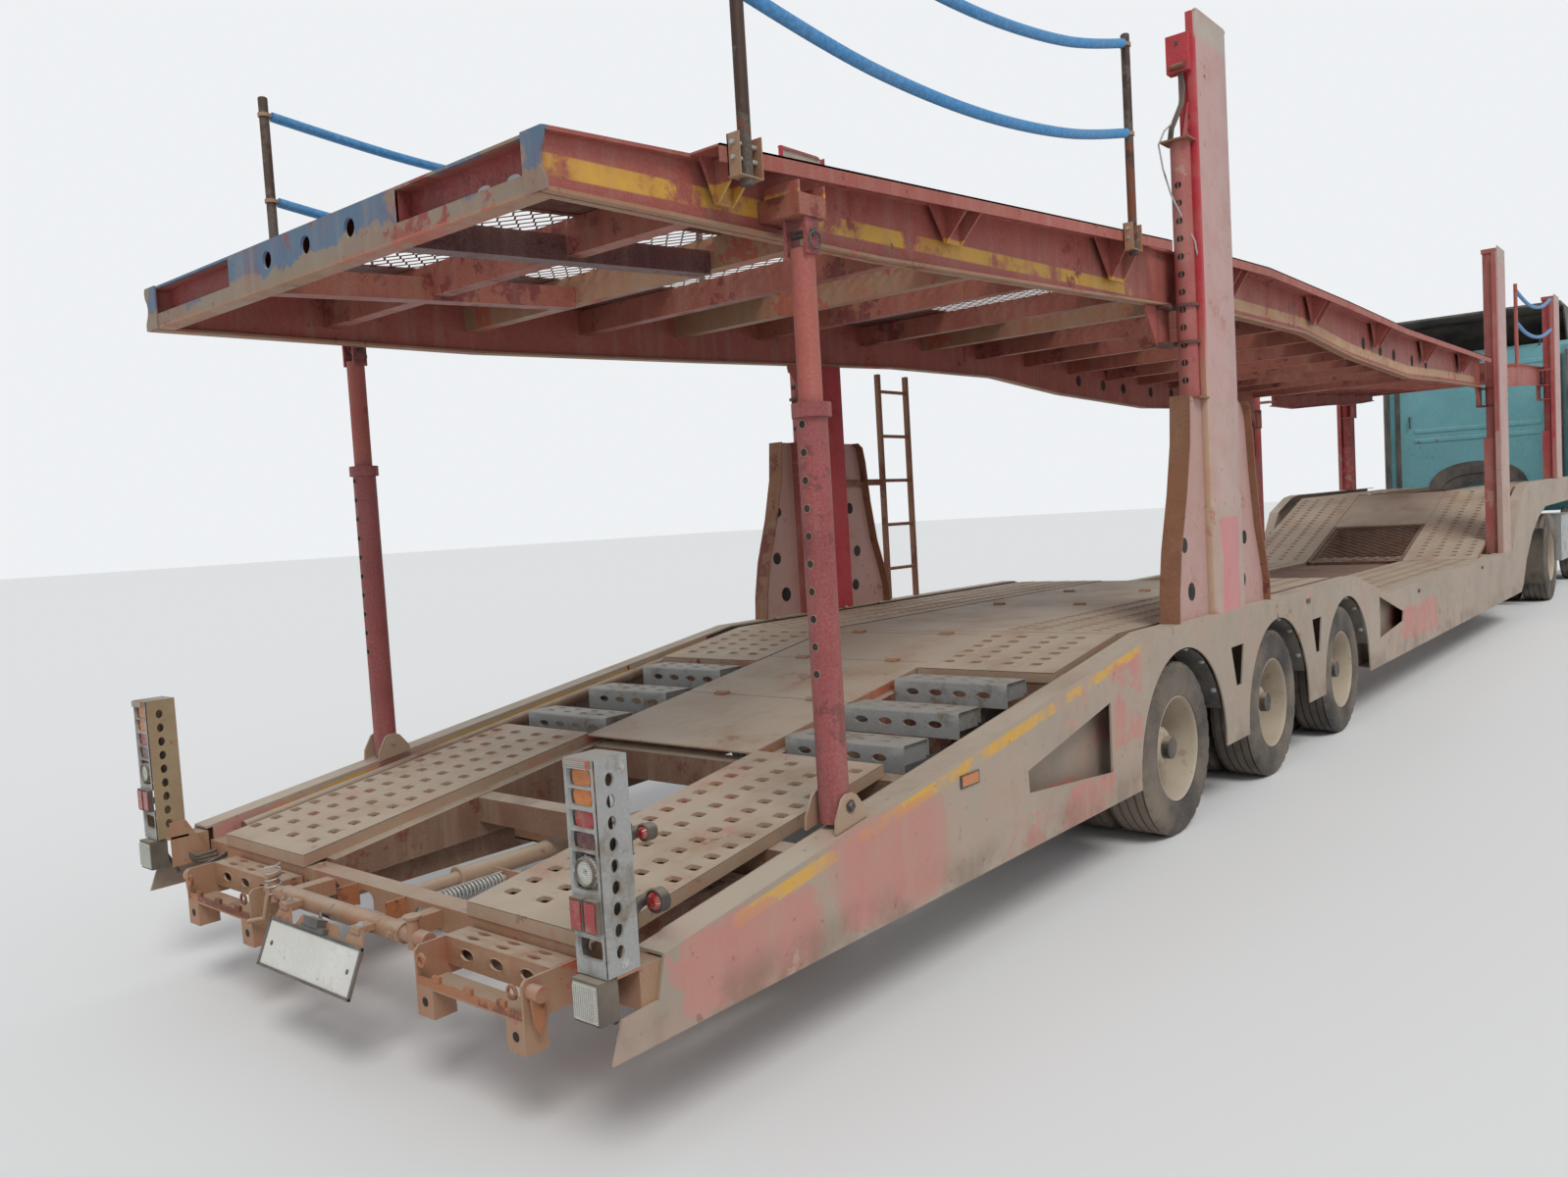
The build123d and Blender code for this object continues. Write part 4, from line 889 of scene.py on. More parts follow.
# %% Sizes of the posts
COLUMN_Y = HALF_WIDTH - 0.078
MAIN_REAR, MAIN_FRONT = 3.815, 4.225
COLUMNS = (
    # station, radius of the column that the carriage slides on
    (3.790, 0.045), (11.660, 0.060),
)
MAIN_COLUMN, MAIN_RADIUS = COLUMNS[0]
COLUMN_TOP_Z, COLUMN_FOOT_Z, POST_TOP = 3.136, 1.965, 3.735
BOX_REAR = MAIN_REAR + 0.020
PIN_HOLES, TOP_PIN_HOLE, PIN_PITCH, PIN_RADIUS = 12, 2.936, 0.081, 0.0155
PANEL_LINE = ((0.175, 0.514), (3.058, 0.948), (6.230, 0.948), (7.000, 0.775), (12.100, 0.775),
              (12.530, 1.260), (13.060, 1.420), (13.300, 1.445), (16.900, 1.475))
MAIN_FOOT = height_on(PANEL_LINE, MAIN_REAR)
GUSSET_INNER, GUSSET_OUTER = HALF_WIDTH - 0.044, HALF_WIDTH - 0.036
REAR_GUSSET = ((3.370, 0), (3.380, 0.130), (3.418, 0.320), (3.505, 0.570), (3.565, 0.800),
               (3.585, 1.017))
FRONT_GUSSET = ((4.600, 0), (4.596, 0.110), (4.560, 0.220), (4.492, 0.400), (4.440, 0.650),
                (4.408, 0.900), (4.385, 0.990), (4.340, 1.017))
GUSSET_HOLES = (
    # station, height above the side member, radius
    (3.545, 0.340, 0.035), (3.580, 0.610, 0.028), (3.610, 0.125, 0.042), (4.276, 0.612, 0.035),
    (4.333, 0.340, 0.035), (4.298, 0.128, 0.035),
)
CABLE = ((3.800, 3.452, 1.176), (3.806, 3.380, 1.182), (3.798, 3.310, 1.176),
         (3.776, 3.250, 1.158), (3.762, 3.200, 1.140), (3.764, 3.144, 1.130))
PALE_HOSE = ((3.770, 3.230, 1.150), (3.735, 3.190, 1.122), (3.722, 3.130, 1.098),
             (3.728, 3.020, 1.112), (3.740, 2.900, 1.140), (3.748, 2.800, 1.180),
             (3.790, 2.680, 1.223), (3.829, 2.600, 1.221), (3.829, 2.010, 1.221))
print("the main posts stand on the side members at", round(MAIN_FOOT, 3), "m")

# %% Parts of a main post
# The hole finish is painted shade laid over holes; the dark finish is the cables' own black and
# also painted shade over the slots of the boxes.
PLATE, RED_STEEL, EDGE, POST_HOLE_SHADE, CABLE_BLACK_AND_SLOT_SHADE, ZINC, COLUMN_RED = range(7)


def hole_shade_disc(shape, centre, outward, radius, finish, ring=None):
    """A hole seen from outside as painted shade: a dark disc a hair proud of the plate, with a
    bright lip.
    """
    shape.lathe([(0.0006, 0.0), (0.0006, radius)], centre, outward, 20, finish, FLAT, closed=False)
    if ring is not None:
        shape.lathe([(0.0, radius), (0.0012, radius), (0.0010, radius * 1.12),
                     (0.0, radius * 1.14)], centre, outward, 20, ring, ROUND, closed=False)


def outer_plate(shape, side):
    """The post's tall plate: a shallow channel with rounded return edges and a clipped top."""
    fold = [(MAIN_REAR + 0.004, GUSSET_INNER), (MAIN_REAR, HALF_WIDTH - 0.022),
            (MAIN_REAR + 0.006, HALF_WIDTH - 0.008), (MAIN_REAR + 0.020, HALF_WIDTH - 0.0003)]
    fold += [(MAIN_REAR + MAIN_FRONT - s, y) for s, y in reversed(fold)]
    count = len(fold)
    for low, top in ((MAIN_FOOT, POST_TOP - 0.040), (POST_TOP - 0.040, POST_TOP - 0.014)):
        shape.add([(at(s), side * y, z) for z in (low, top) for s, y in fold],
                  [(k, k + 1, count + k + 1, count + k) for k in range(count - 1)], PLATE, ROUND)
    clipped = [(MAIN_REAR + 0.004, POST_TOP - 0.014), (MAIN_REAR + 0.018, POST_TOP - 0.003),
               (MAIN_REAR + 0.040, POST_TOP)]
    clipped += [(MAIN_REAR + MAIN_FRONT - s, z) for s, z in reversed(clipped)]
    shape.plate(clipped, across(side, HALF_WIDTH - 0.010, HALF_WIDTH - 0.0006), PLATE)


def box_and_column(shape, side):
    """The crimson box with painted shade in its slot, and the drilled column between foot and head
    plate, its pin holes drawn as painted shade.
    """
    shape.block((BOX_REAR, MAIN_FRONT - 0.030),
                across(side, HALF_WIDTH - 0.092, HALF_WIDTH - 0.010),
                (MAIN_FOOT, POST_TOP - 0.130), RED_STEEL)
    # A thin dark strip of painted shade stands in for the slot in the box.
    shape.block((BOX_REAR - 0.0022, BOX_REAR),
                across(side, HALF_WIDTH - 0.048, HALF_WIDTH - 0.034), (2.000, 3.050), CABLE_BLACK_AND_SLOT_SHADE)
    x, y = at(MAIN_COLUMN), side * COLUMN_Y
    shape.tube([(x, y, COLUMN_FOOT_Z), (x, y, COLUMN_TOP_Z)], MAIN_RADIUS, 32, COLUMN_RED)
    # The column's pin holes are discs of painted shade.
    for i in range(PIN_HOLES):
        hole_shade_disc(shape, (x - MAIN_RADIUS + 0.0008, y, TOP_PIN_HOLE - i * PIN_PITCH), (-1, 0, 0),
                  PIN_RADIUS, POST_HOLE_SHADE)
    for rear, inner, outer, low, high, finish in (
            (0.055, 1.128, HALF_WIDTH - 0.040, MAIN_FOOT, COLUMN_FOOT_Z - 0.008, COLUMN_RED),
            (0.075, 1.100, HALF_WIDTH - 0.002, COLUMN_FOOT_Z - 0.008, COLUMN_FOOT_Z, EDGE),
            (0.066, 1.100, 1.236, COLUMN_TOP_Z, COLUMN_TOP_Z + 0.008, EDGE)):
        shape.block((MAIN_COLUMN - rear, BOX_REAR), across(side, inner, outer), (low, high),
                    finish)
    brace = COLUMN_Y + 0.030
    shape.plate([(MAIN_COLUMN - 0.046, COLUMN_TOP_Z + 0.008), (BOX_REAR, COLUMN_TOP_Z + 0.008),
                 (BOX_REAR, COLUMN_TOP_Z + 0.200), (BOX_REAR - 0.016, COLUMN_TOP_Z + 0.180),
                 (MAIN_COLUMN - 0.020, COLUMN_TOP_Z + 0.070)], across(side, brace, brace + 0.006),
                PLATE)
    # The brace's two holes are discs of painted shade.
    for back, rise in ((0.022, 0.112), (0.030, 0.052)):
        hole_shade_disc(shape, (at(BOX_REAR - back), side * (brace + 0.006), COLUMN_TOP_Z + rise),
                  (0, side, 0), 0.010, POST_HOLE_SHADE)


def sheave_box(shape, side):
    """The red box near the top with its roller, two black cables and a pale hose; two thin dark
    plates on its face are painted shade for its openings, one behind the roller.
    """
    shape.block((MAIN_COLUMN - 0.010, BOX_REAR), across(side, 1.125, 1.228), (3.452, 3.620),
                RED_STEEL)
    # These two thin dark plates are painted shade for the box's openings, one behind the roller.
    for inner, outer, low, high in ((1.168, 1.184, 3.570, 3.588), (1.140, 1.214, 3.462, 3.490)):
        shape.block((MAIN_COLUMN - 0.0122, MAIN_COLUMN - 0.010), across(side, inner, outer),
                    (low, high), CABLE_BLACK_AND_SLOT_SHADE)
    roller = at(MAIN_COLUMN - 0.018)
    shape.tube([(roller, side * 1.146, 3.476), (roller, side * 1.208, 3.476)], 0.011, 18, EDGE)
    for shift in (0.0, 0.012):
        shape.tube([(at(s), side * (y + shift), z) for s, z, y in CABLE], 0.007, 10, CABLE_BLACK_AND_SLOT_SHADE)
    shape.tube([(at(s), side * y, z) for s, z, y in PALE_HOSE], 0.0045, 8, ZINC)


def gussets(shape, side):
    """The two curved feet with their flanges, holes drawn as painted shade, and foot bolts."""
    for edge, root, inset in ((REAR_GUSSET, MAIN_REAR + 0.006, 0.008),
                              (FRONT_GUSSET, MAIN_FRONT - 0.006, -0.008)):
        outline = [(s, MAIN_FOOT + z) for s, z in edge]
        web = [(s + inset / 2, z) for s, z in outline]
        shape.plate(web + [(root, outline[-1][1]), (root, MAIN_FOOT)],
                    across(side, GUSSET_INNER, GUSSET_OUTER), PLATE)
        shape.plate(outline + [(s + inset, z) for s, z in reversed(outline)],
                    across(side, HALF_WIDTH - 0.094, HALF_WIDTH - 0.0011), EDGE)
    # The gusset holes are discs of painted shade on both faces.
    for s, z, radius in GUSSET_HOLES:
        for y, outward in ((GUSSET_OUTER, side), (GUSSET_INNER, -side)):
            hole_shade_disc(shape, (at(s), side * y, MAIN_FOOT + z), (0, outward, 0), radius, POST_HOLE_SHADE)
    for s in (3.86, 3.98, 4.10, 3.44, 4.46):
        shape.bolt((at(s), side * (HALF_WIDTH - 0.110), MAIN_FOOT + 0.0005), (0, 0, 1), 0.012,
                   0.012, ZINC)


print("four parts make a main post")

# %% Posts and ladder
posts = Shape()
for side in (-1, 1):
    for part in (outer_plate, box_and_column, sheave_box, gussets):
        part(posts, side)
LADDER_Y, LADDER_RUNG = HALF_WIDTH - 0.060, 0.290
for s in (4.640, 4.960):
    posts.block((s, s + 0.030), (LADDER_Y, LADDER_Y + 0.030), (MAIN_FOOT + 0.004, 2.420), EDGE)
for i in range(5):
    z = 1.150 + i * LADDER_RUNG
    posts.tube([(at(s), LADDER_Y + 0.015, z) for s in (4.668, 4.962)], 0.011, 14, EDGE)
posts.block((4.150, 4.640), (LADDER_Y, LADDER_Y + 0.010), (1.700, 1.740), EDGE)
posts.make("deck_posts", ["post_paint", "crimson_box", "brown_flange", "hole_shade_black",
                          "black_rubber", "bright_zinc", "post_paint"],
           "trailer", "post_paint", replaces=["main_posts"])

# %% [markdown]
# ## Loading deck
# Two I-shaped side beams carry the deck. Between them lie cross members with two longitudinal
# bars below, and the rear one is an open channel with three round holes and a long window on each
# side. Carriages clasp the columns, and under each prop sits a bracket with two upturned tabs.

# %% Sizes of the loading deck
UPPER_BOTTOM = ((0.110, 2.298), (1.450, 2.312), (2.870, 2.365), (4.660, 2.440), (5.900, 2.450),
                (6.950, 2.375), (8.600, 2.325), (9.700, 2.360), (11.600, 2.400))
DECK_REAR, DECK_FRONT = 0.110, 11.600
BEAM_OUTER, BEAM_FLANGE, FLANGE_THICK = 1.100, 0.056, 0.010
WEB_Y, WEB_HALF = BEAM_OUTER - BEAM_FLANGE / 2, 0.004
WEB_HOLES, WEB_HOLE_RADIUS = (7.298, 7.759, 8.163, 8.753, 9.236), 0.045
MEMBERS = (0.750, 1.400, 2.040, 2.680, 3.320, 4.300, 5.000, 5.700, 6.400, 7.100, 7.800, 8.500,
           9.200, 9.900, 10.600, 11.530)
MEMBER_WIDE, MEMBER_TALL = 0.060, 0.110
DUSTY_MEMBERS = (1, 3, 6)
PROP_STATION, PROP_Y = 0.935, 1.180
FACE_LOW, FACE_SILL, FACE_HIGH = 2.3092, 2.3500, 2.4356
FACE_HALF = 1.068
FACE_HOLES = (
    # left edge and right edge of the cell, middle of the hole
    (-0.480, -0.123, -0.245), (-0.123, 0.113, -0.002), (0.113, 0.480, 0.229),
)
CORNER_CAP = ((1.020, 2.300), (1.106, 2.300), (1.106, 2.322), (1.098, 2.336), (1.088, 2.352),
              (1.084, 2.372), (1.088, 2.392), (1.100, 2.410), (1.104, 2.430), (1.098, 2.4455),
              (1.020, 2.4455))
print("the loading deck is", round(DECK_FRONT - DECK_REAR, 2), "m long")

# %% Parts of the loading deck
WEB, UNDERSIDE, TAN, BLUE, LONG_BAR, INSIDE, PALE_GREY, STRIPE, BEAM_HOLE_SHADE = range(9)


def side_beam(shape, side):
    """A bent I-beam with web holes drawn as painted shade and a faded stripe; a long bar and a
    track lie inside it.
    """
    top = along_line(UPPER_LINE, DECK_REAR, DECK_FRONT)
    low = along_line(UPPER_BOTTOM, DECK_REAR, DECK_FRONT)
    shape.plate(top + low[::-1], across(side, WEB_Y - WEB_HALF, WEB_Y + WEB_HALF), WEB)
    flange = across(side, BEAM_OUTER - BEAM_FLANGE, BEAM_OUTER)
    ribbon(shape, UPPER_LINE, DECK_REAR, DECK_FRONT, FLANGE_THICK, flange, 0.0, WEB)
    ribbon(shape, UPPER_BOTTOM, DECK_REAR, DECK_FRONT, FLANGE_THICK, flange, -FLANGE_THICK, TAN)
    # The web holes are discs of painted shade on both faces of the web.
    for s in WEB_HOLES:
        z = 0.45 * height_on(UPPER_LINE, s) + 0.55 * height_on(UPPER_BOTTOM, s)
        for outward in (-1, 1):
            hole_shade_disc(shape, (at(s), side * WEB_Y + outward * (WEB_HALF + 0.0008), z),
                      (0, outward, 0), WEB_HOLE_RADIUS, BEAM_HOLE_SHADE)
    ribbon(shape, UPPER_LINE, 0.172, 1.398, 0.080, across(side, 0.330, 0.400), 0.056,
           UNDERSIDE if side > 0 else LONG_BAR)
    ribbon(shape, UPPER_BOTTOM, 4.300, 11.300, 0.060,
           across(side, WEB_Y + WEB_HALF, WEB_Y + WEB_HALF + 0.0006), -0.100, STRIPE)
    ribbon(shape, UPPER_LINE, 0.172, 11.500, 0.006, across(side, 0.472, 1.0435), 0.002, LONG_BAR)


def cross_members(shape):
    """Members from web to web, each as tall as the beams leave room for."""
    for i, s in enumerate(MEMBERS):
        ends = (s, s + MEMBER_WIDE)
        low = max(height_on(UPPER_BOTTOM, q) for q in ends) + FLANGE_THICK
        high = min(height_on(UPPER_LINE, q) for q in ends) - FLANGE_THICK - 0.0004
        shape.block(ends, (WEB_HALF - WEB_Y, WEB_Y - WEB_HALF),
                    (max(low, high - MEMBER_TALL), high), TAN if i in DUSTY_MEMBERS else UNDERSIDE)


def deck_rear_face(shape):
    """The pierced channel at the deck's rear end."""
    whole = (-FACE_HALF, FACE_HALF)
    shape.block((DECK_REAR, 0.118), whole, (FACE_LOW, FACE_SILL), BLUE)
    for left, right, middle in FACE_HOLES:
        holed_cell(shape, lambda y, z, rise: (at(DECK_REAR) - rise, y, z),
                   (left, right, FACE_SILL, FACE_HIGH), (middle, 2.386, 0.028, 0.028),
                   lip=0.0, depth=0.008, flare=1.01, finish=BLUE)
    shape.block((DECK_REAR, 0.170), whole, (FACE_HIGH, FACE_HIGH + 0.008), BLUE)
    shape.block((0.158, 0.164), (-0.4799, 0.4799), (2.376, FACE_HIGH), INSIDE)
    shape.block((DECK_REAR, 0.170), whole, (FACE_LOW - 0.008, FACE_LOW), TAN)
    for side in (-1, 1):
        inside = (FACE_LOW, FACE_HIGH)
        shape.block((0.158, 0.164), across(side, 0.480, 1.020), inside, INSIDE)
        shape.block((0.118, 0.158), across(side, 0.478, 0.484), inside, INSIDE)
        shape.slab([(side * y, z) for y, z in CORNER_CAP], lambda y, z, h: (at(0.104) + h, y, z),
                   0.0058, BLUE)
    turns = [2 * math.pi * k / 16 for k in range(16)]
    for y in (0.800, 0.920):
        shape.slab([(-y + 0.026 * math.cos(t), 2.372 + 0.010 * math.sin(t)) for t in turns],
                   lambda y, z, h: (at(0.1572) + h, y, z), 0.0005, PALE_GREY)


def carriage(shape, side, column, radius):
    """Two arms with collars round a post's column, hung from the beam, with a fin behind."""
    base = height_on(UPPER_BOTTOM, column)
    for z in (base - 0.190, base - 0.020):
        shape.block((column - 0.100, column + radius),
                    across(side, BEAM_OUTER - BEAM_FLANGE, COLUMN_Y - radius - 0.004),
                    (z, z + 0.014), LONG_BAR)
        shape.lathe([(0.0, radius + 0.002), (0.0, radius + 0.012), (0.014, radius + 0.012),
                     (0.014, radius + 0.002)], (at(column), side * COLUMN_Y, z), (0, 0, 1), 32,
                    LONG_BAR, ROUND)
    shape.block((column - 0.084, column + radius),
                across(side, BEAM_OUTER - BEAM_FLANGE, BEAM_OUTER - 0.030),
                (base - 0.176, base + 0.012), WEB)
    shape.plate([(column - 0.100, base - 0.190), (column - 0.220, base - 0.030),
                 (column - 0.220, base), (column - 0.100, base)],
                across(side, BEAM_OUTER - 0.040, BEAM_OUTER - 0.032), WEB)


def prop_bracket(shape, side):
    """The plate over a prop's head, with two upturned tabs."""
    outer = PROP_Y + 0.046
    shape.block((PROP_STATION - 0.060, PROP_STATION + 0.060), across(side, 1.070, outer),
                (2.3405, 2.400), UNDERSIDE)
    for s in (PROP_STATION - 0.060, PROP_STATION + 0.052):
        shape.block((s, s + 0.008), across(side, 1.104, outer), (2.400, 2.432), WEB)


print("five parts make the loading deck")

# %% Loading deck
deck = Shape()
for side in (-1, 1):
    side_beam(deck, side)
    for column, radius in COLUMNS:
        carriage(deck, side, column, radius)
    prop_bracket(deck, side)
cross_members(deck)
deck_rear_face(deck)
deck.make("loading_deck", ["deck_paint", "under_paint", "rusty_steel", "deck_paint", "maroon_bar",
                           "red_box", "bright_zinc", "faded_stripe", "hole_shade_black"],
          "upper_deck", "deck_paint", replaces=["upper_deck_frame"])

# %% [markdown]
# ## Walkway wings
# A narrow walkway of sheet runs outside each beam, on outriggers. An outrigger is a small plate
# on the beam's web with a lightening hole and two triangular fins out to the wing's folded edge.

# %% Walkway wings
WING_INNER, WING_OUTER, WING_FACE = BEAM_OUTER + 0.0004, 1.208, BEAM_OUTER + 0.010
OUTRIGGERS = (
    # station, length at the wing, at the foot, height, hole radius
    (0.620, 0.170, 0.060, 0.120, 0), (1.720, 0.280, 0.090, 0.130, 0.024),
    (2.980, 0.400, 0.120, 0.180, 0.044), (4.400, 0.300, 0.090, 0.170, 0.030),
    (5.900, 0.300, 0.090, 0.170, 0.030), (7.400, 0.300, 0.090, 0.170, 0.030),
    (8.900, 0.300, 0.090, 0.170, 0.030), (10.400, 0.300, 0.090, 0.170, 0.030),
)


def outrigger(shape, side, s, top, foot, tall, hole):
    """A plate on the web, narrower at its foot, with a hole drawn as painted shade and two fins."""
    middle = s + top / 2
    low = height_on(UPPER_LINE, middle) - 0.006 - tall
    shape.plate(along_line(UPPER_LINE, s, s + top, 0.006) + [(middle + foot / 2, low),
                                                           (middle - foot / 2, low)],
                across(side, WING_INNER, WING_FACE))
    if hole:
        # The lightening hole is a disc of painted shade.
        hole_shade_disc(shape, (at(middle), side * WING_FACE, low + 0.62 * tall), (0, side, 0), hole, 2)
    reach = WING_OUTER - 0.007
    fin = [(WING_FACE, low), (reach, low + tall - 0.030), (reach, low + tall - 0.004),
           (WING_FACE, low + tall - 0.004)]
    for x in (at(middle - foot / 2), at(middle + foot / 2)):
        shape.slab(fin, lambda y, z, h, x=x: (x - 0.004 + h, side * y, z), 0.008)


wings = Shape()
for side in (-1, 1):
    for start, end in ((0.590, 3.560), (4.300, 11.400)):
        ribbon(wings, UPPER_LINE, start, end, 0.006, across(side, WING_INNER, WING_OUTER))
        ribbon(wings, UPPER_LINE, start, end, 0.046, across(side, WING_OUTER - 0.006, WING_OUTER),
               0.0001, 1)
    for row in OUTRIGGERS:
        outrigger(wings, side, *row)
wings.make("walkway_wings", ["deck_paint", "deck_paint", "hole_shade_black"], "upper_deck",
           "deck_paint", replaces=["upper_deck_wings"])

# %% [markdown]
# ## Tyres and rims
# A lorry tyre has a bulging side, a square shoulder cut by blocks and four grooves around its
# tread. Its rim is a deep dish: the flange curls out, the well drops in steps, and the disc sits
# near the middle of the pair, with hand holes round a hub that stands proud with ten nuts.

# %% Wheels
TYRE_SIDES = 120


def tyre(shape, centre, r, width, rim_r, finish):
    """One tyre about an axis through centre; shoulder blocks repeat every four spokes."""
    half = width / 2
    groove, depth = 0.0035, 0.011
    profile = [(-half + 0.012, rim_r + 0.001, 0), (-half + 0.004, rim_r + 0.018, 0),
               (-half, rim_r + (r - rim_r) * 0.45, 0), (-half + 0.006, r - 0.040, 0),
               (-half + 0.012, r - 0.016, 0.010), (-half + 0.026, r - 0.003, 0.010)]
    tread = half - 0.030
    for i in range(5):
        y = -tread + 2 * tread * i / 4
        profile += [(y - groove - 0.002, r, 0), (y - groove, r - depth, 0),
                    (y + groove, r - depth, 0), (y + groove + 0.002, r, 0)]
    profile += [(half - 0.026, r - 0.003, 0.010), (half - 0.012, r - 0.016, 0.010),
                (half - 0.006, r - 0.040, 0), (half, rim_r + (r - rim_r) * 0.45, 0),
                (half - 0.004, rim_r + 0.018, 0), (half - 0.012, rim_r + 0.001, 0)]
    count = len(profile)
    points, faces = [], []
    for k in range(TYRE_SIDES):
        turn = 2 * math.pi * k / TYRE_SIDES
        for y, radius, cut in profile:
            radius -= cut if k % 4 == 0 else 0
            points.append((centre[0] + radius * math.cos(turn), centre[1] + y,
                           centre[2] + radius * math.sin(turn)))
        after = (k + 1) % TYRE_SIDES
        for i in range(count - 1):
            faces.append((k * count + i, after * count + i, after * count + i + 1,
                          k * count + i + 1))
    shape.add(points, faces, finish, ROUND)


def rim(shape, centre, side, rim_r, half, disc_at, hub_r, dome, finish, holes=8):
    """A wheel's rim and disc, seen from outside; distances grow towards the outside."""
    seat = rim_r - 0.0005
    outward = (0, side, 0)
    shape.lathe([(-half + 0.012, seat), (-half + 0.012, seat - 0.012),
                 (-half + 0.030, seat - 0.018), (disc_at - 0.020, seat - 0.024),
                 (disc_at, seat - 0.030),
                 (disc_at + 0.030, seat - 0.024), (half - 0.060, seat - 0.020),
                 (half - 0.034, seat - 0.012), (half - 0.020, seat - 0.010),
                 (half - 0.012, seat - 0.004), (half - 0.014, seat)], centre, outward, 64,
                finish, ROUND, closed=False)
    inner, outer = hub_r + 0.045, seat - 0.030
    across = Vector(outward)

    def place(u, v, rise):
        spoke = Vector((math.cos(u), 0, math.sin(u)))
        dish = dome * math.sin(math.pi * (v - inner) / (outer - inner)) * 0.5
        return Vector(centre) + spoke * v + across * (disc_at + dish + rise)
    step_angle = 2 * math.pi / holes
    middle = inner + (outer - inner) * 0.60
    for k in range(holes):
        u = step_angle * (k + 0.5)
        for quarter in (0.0, 0.75):
            low, high = step_angle * (k + quarter), step_angle * (k + quarter + 0.25)
            shape.add([place(a, v, 0) for a in (low, high) for v in (inner, middle, outer)],
                      [(0, 1, 4, 3), (1, 2, 5, 4)], finish, ROUND)
        holed_cell(shape, place, (step_angle * (k + 0.25), step_angle * (k + 0.75), inner, outer),
                   (u, middle, 0.022 / middle, 0.026), lip=0.0, depth=0.010, flare=1.15,
                   finish=finish)


def hub(shape, centre, side, low, high, hub_r, nuts, nut_circle, finish, dark):
    """A hub that stands proud of the disc, with a cap and a ring of nuts."""
    outward = (0, side, 0)
    shape.lathe([(low, hub_r + 0.055), (low + 0.012, hub_r + 0.055), (low + 0.016, hub_r + 0.030),
                 (high - 0.020, hub_r + 0.022), (high - 0.008, hub_r + 0.012),
                 (high, hub_r - 0.004), (high, 0.0)], centre, outward, 40,
                finish, ROUND, closed=False)
    for k in range(nuts):
        turn = 2 * math.pi * k / nuts
        foot = Vector(centre) + Vector((math.cos(turn), 0, math.sin(turn))) * nut_circle
        foot += Vector(outward) * (low + 0.010)
        shape.bolt(foot, outward, 0.014, 0.022, dark)


def twin(name, station, z, outer_y, spacing, r, width, rim_r, hub_r, side, node):
    """A pair of tyres on one hub, replacing the plain CAD pair."""
    shape = Shape()
    middle = side * (outer_y - spacing / 2)
    for y in (outer_y, outer_y - spacing):
        tyre(shape, (at(station), side * y, z), r, width, rim_r, 0)
    outer_centre = (at(station), side * outer_y, z)
    inner_centre = (at(station), side * (outer_y - spacing), z)
    disc = -spacing / 2 + 0.014
    rim(shape, outer_centre, side, rim_r, width / 2, disc, hub_r, 0.030, 1)
    rim(shape, inner_centre, -side, rim_r, width / 2, disc, hub_r, 0.030, 1)
    hub(shape, (at(station), middle, z), side, 0.012, spacing / 2 + 0.040, hub_r + 0.018, 10,
        hub_r + 0.060, 1, 2)
    hub(shape, (at(station), middle, z), -side, 0.012, 0.060, hub_r + 0.030, 0, 0.1, 2, 2)
    shape.make(name, ["tyre_rubber", "wheel_paint", "axle_black"],
               node, "tyre_rubber", replaces=[node])


for number, station in enumerate((3.400, 4.710, 6.020), start=1):
    for hand, side in (("right", -1), ("left", 1)):
        node = f"trailer_wheels_{number}_{hand}"
        twin(f"twin_tyres_{number}_{hand}", station, 0.388, 1.106, 0.252, 0.388, 0.226, 0.236,
             0.050, side, node)
for hand, side in (("right", -1), ("left", 1)):
    twin(f"drive_tyres_{hand}", 15.100, 0.520, 1.073, 0.330, 0.520, 0.290, 0.288, 0.048, side,
         f"drive_wheels_{hand}")
    shape = Shape()
    centre = (at(18.650), side * 1.068, 0.520)
    tyre(shape, centre, 0.520, 0.300, 0.288, 0)
    rim(shape, centre, side, 0.288, 0.150, 0.060, 0.048, 0.040, 1)
    hub(shape, centre, side, 0.066, 0.150, 0.070, 10, 0.135, 1, 2)
    shape.lathe([(-0.130, 0.286), (-0.130, 0.262), (0.040, 0.258)], centre, (0, side, 0), 64, 1,
                ROUND, closed=False)
    shape.make(f"steer_tyre_{hand}", ["tyre_rubber", "wheel_paint",
                                      "axle_black"],
               f"steer_wheel_{hand}", "tyre_rubber", replaces=[f"steer_wheel_{hand}"])

# %% [markdown]
# ## Lamp columns
# At each rear corner stands a perforated zinc channel with the lamps behind its windows. From the
# top down they are a ribbed white lamp, amber, amber, red, dark red and a clear round one; below
# are two crimson reflectors and a square reversing lamp on a brown post. On the right two marker
# lamps stick out on rubber arms.

